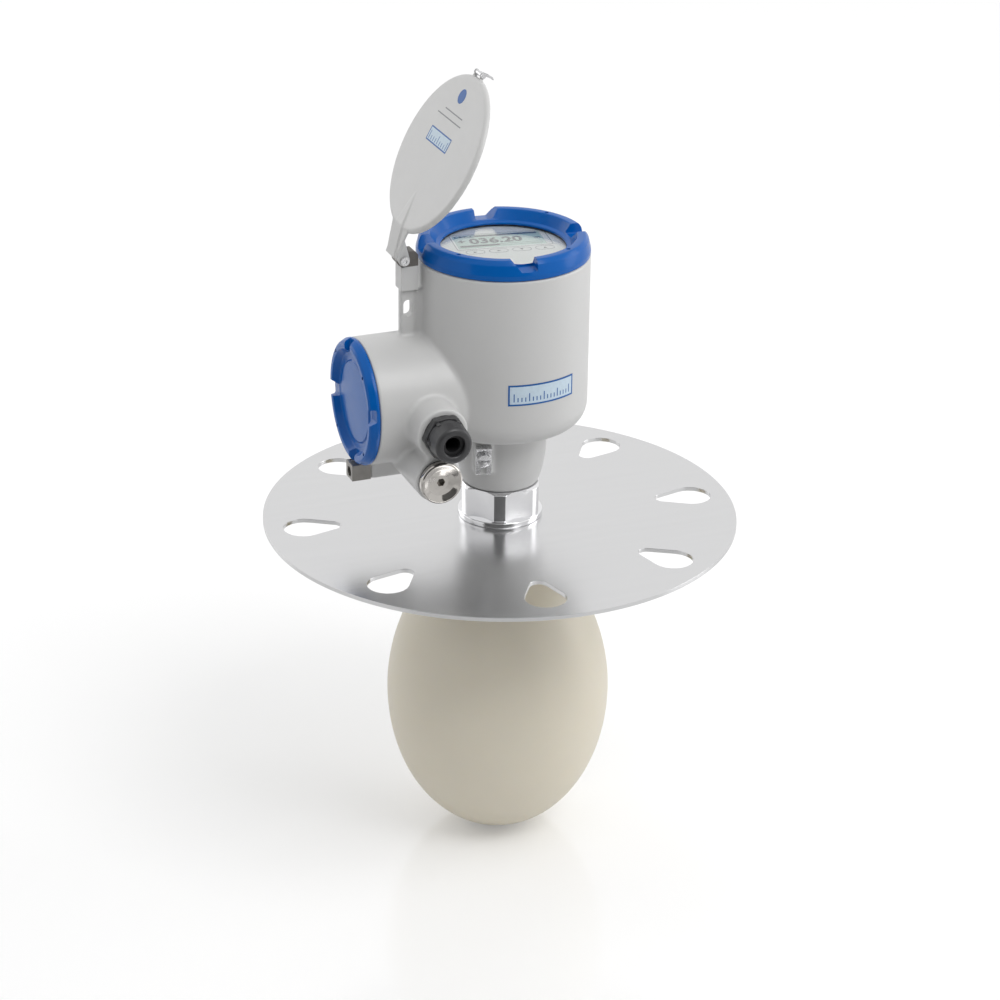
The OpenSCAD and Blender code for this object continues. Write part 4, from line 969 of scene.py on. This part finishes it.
def make_lid_prints():
    """Framed label with a scale, two fine lines and a dot on the lid."""
    on_lid("lid_label", rectangle(6.8 * MM, 4.8 * MM, 8.8 * MM, 31 * MM, 1 * MM), "label_film", -0.05, 0.05)
    frame_line("lid_label_frame", 6.8 * MM, 4.8 * MM, 8.8 * MM, 31 * MM, 0.6 * MM, 0.8 * MM, "ink_blue",
               low=LID_TOP + 0.02 * MM, place=LID, body="weather_lid", slot="grey_paint")
    for k in range(9):
        wide = 5 * MM if k % 4 == 0 else 2.8 * MM
        mark = rectangle(3.6 * MM + wide / 2, (4.8 + 3.2 * (k - 4)) * MM, wide, 0.6 * MM)
        on_lid(f"lid_mark_{k + 1}", mark, "ink_blue", 0.0, 0.09)
    on_lid("lid_line_long", rectangle(19.6 * MM, 4.7 * MM, 0.7 * MM, 35 * MM), "ink_grey", -0.05, 0.05)
    on_lid("lid_line_short", rectangle(23.8 * MM, 2.4 * MM, 0.7 * MM, 26 * MM), "ink_grey", -0.05, 0.05)
    dot_place = LID @ Matrix.Translation((34.5 * MM, 3.2 * MM, 0))
    dot = rod(4.4 * MM, LID_TOP - 0.05 * MM, LID_TOP + PRINT_T, dot_place)
    finished(as_object("lid_dot", dot), "ink_blue", "weather_lid", "grey_paint")


# ------------------------------------------------------------------ weather lid


def make_lid():
    """Cast lid: a shallow dish with a rounded edge, its tongue, bead, cheeks and latch ears."""
    lid = remeshed(copy_of("weather_lid"), 0.42 * MM, smooth=6, keep=0.5)
    finished(lid, "grey_paint", "weather_lid", replaces=["weather_lid"])


# ------------------------------------------------------------------ cable entries


def make_gland():
    """Moulded gland: its hexagon, collar and nut."""
    nut = remeshed(copy_of("gland_nut"), 0.2 * MM, smooth=3, keep=0.3)
    finished(nut, "black_plastic", "gland_nut", replaces=["gland_nut"])
    body = remeshed(copy_of("gland_body"), 0.25 * MM, smooth=3, keep=0.35)
    finished(body, "black_plastic", "transmitter", replaces=["gland_body"])
    thread = helix(9.45 * MM, 0.3 * MM, ENTRY_PITCH, 61.2 * MM, 69.6 * MM, entry(ENTRY_UPPER))
    finished(as_object("gland_thread", thread), "black_plastic", "transmitter")


def make_plug():
    """Plated blind plug with a dished face and a hexagon socket."""
    r = BOSS_LOWER_R
    z = ENTRY_FACE + 1.6 * MM
    face = turned(filleted([
        (0, 46 * MM, 0), (9.6 * MM, 46 * MM, 0.6 * MM), (9.6 * MM, z, 0), (r - 1.2 * MM, z, 0.3 * MM),
        (r - 1.2 * MM, z + 3.2 * MM, 1 * MM), (r - 2.4 * MM, z + 4 * MM, 0.6 * MM),
        (r - 3.4 * MM, z + 3.6 * MM, 0.8 * MM), (r - 6 * MM, z + 2.4 * MM, 2 * MM),
        (r - 9.5 * MM, z + 1.8 * MM, 1 * MM), (0, z + 1.8 * MM, 0),
    ]), steps=96, place=entry(ENTRY_LOWER))
    plug = as_object("plug", face)
    cut(plug, prism(hexagon(4.5 * MM), z - 3 * MM, z + 6 * MM, entry(ENTRY_LOWER)))
    finished(plug, "nickel", "blind_plug", "polished_steel", replaces=["blind_plug"])
    thread = helix(9.98 * MM, 0.5 * MM, ENTRY_PITCH, 46.5 * MM, z - 0.8 * MM, entry(ENTRY_LOWER))
    finished(as_object("plug_thread", thread), "nickel", "blind_plug", "polished_steel")


# ------------------------------------------------------------------ small castings and kept nodes

# node: (finish, voxel size in mm, share of the faces kept)
SMALL_CASTINGS = {
    "hinge_block": ("cast_block", 0.2, 0.35),
    "lid_bracket": ("grey_paint", 0.25, 0.35),
    "cover_lock": ("anodised", 0.22, 0.35),
    "earth_clamp": ("fastener_steel", 0.18, 0.35),
    "earth_screw": ("fastener_steel", 0.14, 0.35),
    "cover_lock_screw": ("fastener_steel", 0.14, 0.35),
    "bracket_screws": ("fastener_steel", 0.12, 0.35),
    "hinge_pin": ("fastener_steel", 0.14, 0.35),
    "latch_pin": ("fastener_steel", 0.1, 0.4),
    "latch_hook": ("fastener_steel", 0.12, 0.4),
}

KEPT = {
    "antenna_seal": "seal_rubber",
    "connection_seal": "seal_rubber",
    "waveguide_rod": "white_plastic",
    "electronics_unit": "unit_plastic",
    "display_bezel": "display_plastic",
    "lcd_panel": "lcd",
    "cover_window": "window_glass",
    "window_gasket": "seal_rubber",
    "window_retainer": "anodised",
    "display_cover_seal": "seal_rubber",
    "terminal_cover_seal": "seal_rubber",
    "terminal_block": "terminal_plastic",
    "terminal_screws": "fastener_steel",
    "gland_washer": "seal_rubber",
    "gland_seal": "seal_rubber",
    "plug_washer": "seal_rubber",
}


def make_small_castings():
    """Softens the edges of the small cast and formed pieces."""
    for node, (finish, voxel, keep) in SMALL_CASTINGS.items():
        piece = remeshed(copy_of(node), voxel * MM, smooth=2, keep=keep)
        finished(piece, finish, frame["nodes"][node]["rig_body"], replaces=[node])


def paint_kept_nodes():
    """Gives the nodes that show as they are their finish."""
    for node, finish in KEPT.items():
        shown = frame["nodes"][node]
        shown.data.materials.clear()
        shown.data.materials.append(FINISH[finish].material)


# ------------------------------------------------------------------ studio


def any_ray(nodes, links, *kinds):
    """An output that is 1 for rays of these kinds and 0 for others."""
    rays = nodes.new("ShaderNodeLightPath")
    seen = rays.outputs[kinds[0]]
    for kind in kinds[1:]:
        either = nodes.new("ShaderNodeMath")
        either.operation = "MAXIMUM"
        links.new(seen, either.inputs[0])
        links.new(rays.outputs[kind], either.inputs[1])
        seen = either.outputs[0]
    return seen


def make_floor():
    """Pale glossy floor that keeps the shadow and a faint mirror image."""
    mesh = bmesh.new()
    bmesh.ops.create_circle(mesh, cap_ends=True, radius=30, segments=96)
    bmesh.ops.translate(mesh, verts=mesh.verts, vec=(0, 0, FLOOR_Z - 0.05 * MM))
    floor = as_object("floor", mesh)
    paint = Finish("floor", (0.86, 0.86, 0.86), 0.12)
    paint.set(**{"Specular IOR Level": 0.8, "Emission Color": (1, 1, 1, 1)})
    nodes, links = paint.nodes, paint.links
    glow = nodes.new("ShaderNodeMath")
    glow.operation = "MULTIPLY"
    glow.inputs[1].default_value = 0.2
    links.new(any_ray(nodes, links, "Is Camera Ray", "Is Transmission Ray"), glow.inputs[0])
    links.new(glow.outputs[0], paint.shader.inputs["Emission Strength"])
    floor.data.materials.append(paint.material)


def make_world():
    """White to the camera and in mirrors, softer as a light."""
    world = bpy.data.worlds.new("studio")
    bpy.context.scene.world = world
    world.use_nodes = True
    nodes, links = world.node_tree.nodes, world.node_tree.links
    background = nodes["Background"]
    seen = any_ray(nodes, links, "Is Camera Ray", "Is Transmission Ray", "Is Glossy Ray")
    strength = nodes.new("ShaderNodeMapRange")
    strength.inputs["To Min"].default_value = 0.72
    strength.inputs["To Max"].default_value = 1.0
    links.new(seen, strength.inputs["Value"])
    background.inputs["Color"].default_value = (1, 1, 1, 1)
    links.new(strength.outputs["Result"], background.inputs["Strength"])


def softbox(name, place, power, size=1.2):
    """A large square lamp that looks at the aim."""
    lamp = bpy.data.lights.new(name, "AREA")
    lamp.shape = "RECTANGLE"
    lamp.size = size
    lamp.size_y = size
    lamp.energy = power
    made = bpy.data.objects.new(name, lamp)
    made.location = place
    made.rotation_mode = "QUATERNION"
    made.rotation_quaternion = (Vector(AIM) - Vector(place)).to_track_quat("-Z", "Y")
    bpy.context.scene.collection.objects.link(made)


def flag(name, place, size):
    """A dark grey card that faces the aim and stays out of the camera's and the glass's sight."""
    mesh = bmesh.new()
    bmesh.ops.create_grid(mesh, x_segments=1, y_segments=1, size=0.5)
    bmesh.ops.scale(mesh, verts=mesh.verts, vec=(*size, 1))
    turn = (Vector(AIM) - Vector(place)).to_track_quat("Z", "Y")
    mesh.transform(Matrix.Translation(place) @ turn.to_matrix().to_4x4())
    card = as_object(name, mesh)
    paint = Finish(name, (0.16, 0.16, 0.16), 0.8)
    card.data.materials.append(paint.material)
    card.visible_camera = False
    card.visible_transmission = False


def make_camera():
    """The camera, a little above the display and left of the front."""
    azimuth, elevation = math.radians(-21.939), math.radians(24.596)
    distance, roll = 1.8058, math.radians(0.761)
    across = Vector((math.cos(azimuth), math.sin(azimuth), 0))
    level = math.cos(elevation)
    back = Vector((math.sin(azimuth) * level, -math.cos(azimuth) * level, math.sin(elevation)))
    target = across * 0.018 * MM + Vector((0, 0, 9.906 * MM))
    camera = bpy.data.objects.new("camera", bpy.data.cameras.new("camera"))
    camera.data.sensor_width = 36
    camera.data.lens = 108
    camera.data.clip_start = 0.05
    camera.data.clip_end = 100
    rise = back.cross(across)
    side = across * math.cos(roll) + rise * math.sin(roll)
    top = rise * math.cos(roll) - across * math.sin(roll)
    turn = Matrix((side, top, back)).transposed().to_4x4()
    camera.matrix_world = Matrix.Translation(target + back * distance) @ turn
    bpy.context.scene.collection.objects.link(camera)
    bpy.context.scene.camera = camera


def make_studio():
    """Floor, world, lamps, card and camera."""
    make_floor()
    make_world()
    softbox("key", (0.48, -1.33, 1.74), 20)
    softbox("side", (2.09, -0.37, 0.62), 9)
    softbox("back", (-1.06, 1.84, 0.62), 5)
    flag("flag_front", (-0.5, -1.1, 0.5), (2.0, 1.1))
    make_camera()
    bpy.context.scene.view_settings.view_transform = "Standard"


# ------------------------------------------------------------------ assembly

make_plate()
make_drop()
make_connection()
make_housing()
make_display_cover()
make_terminal_cover()
make_display()
make_labels()
make_lid()
make_lid_prints()
make_gland()
make_plug()
make_small_castings()
paint_kept_nodes()
make_studio()
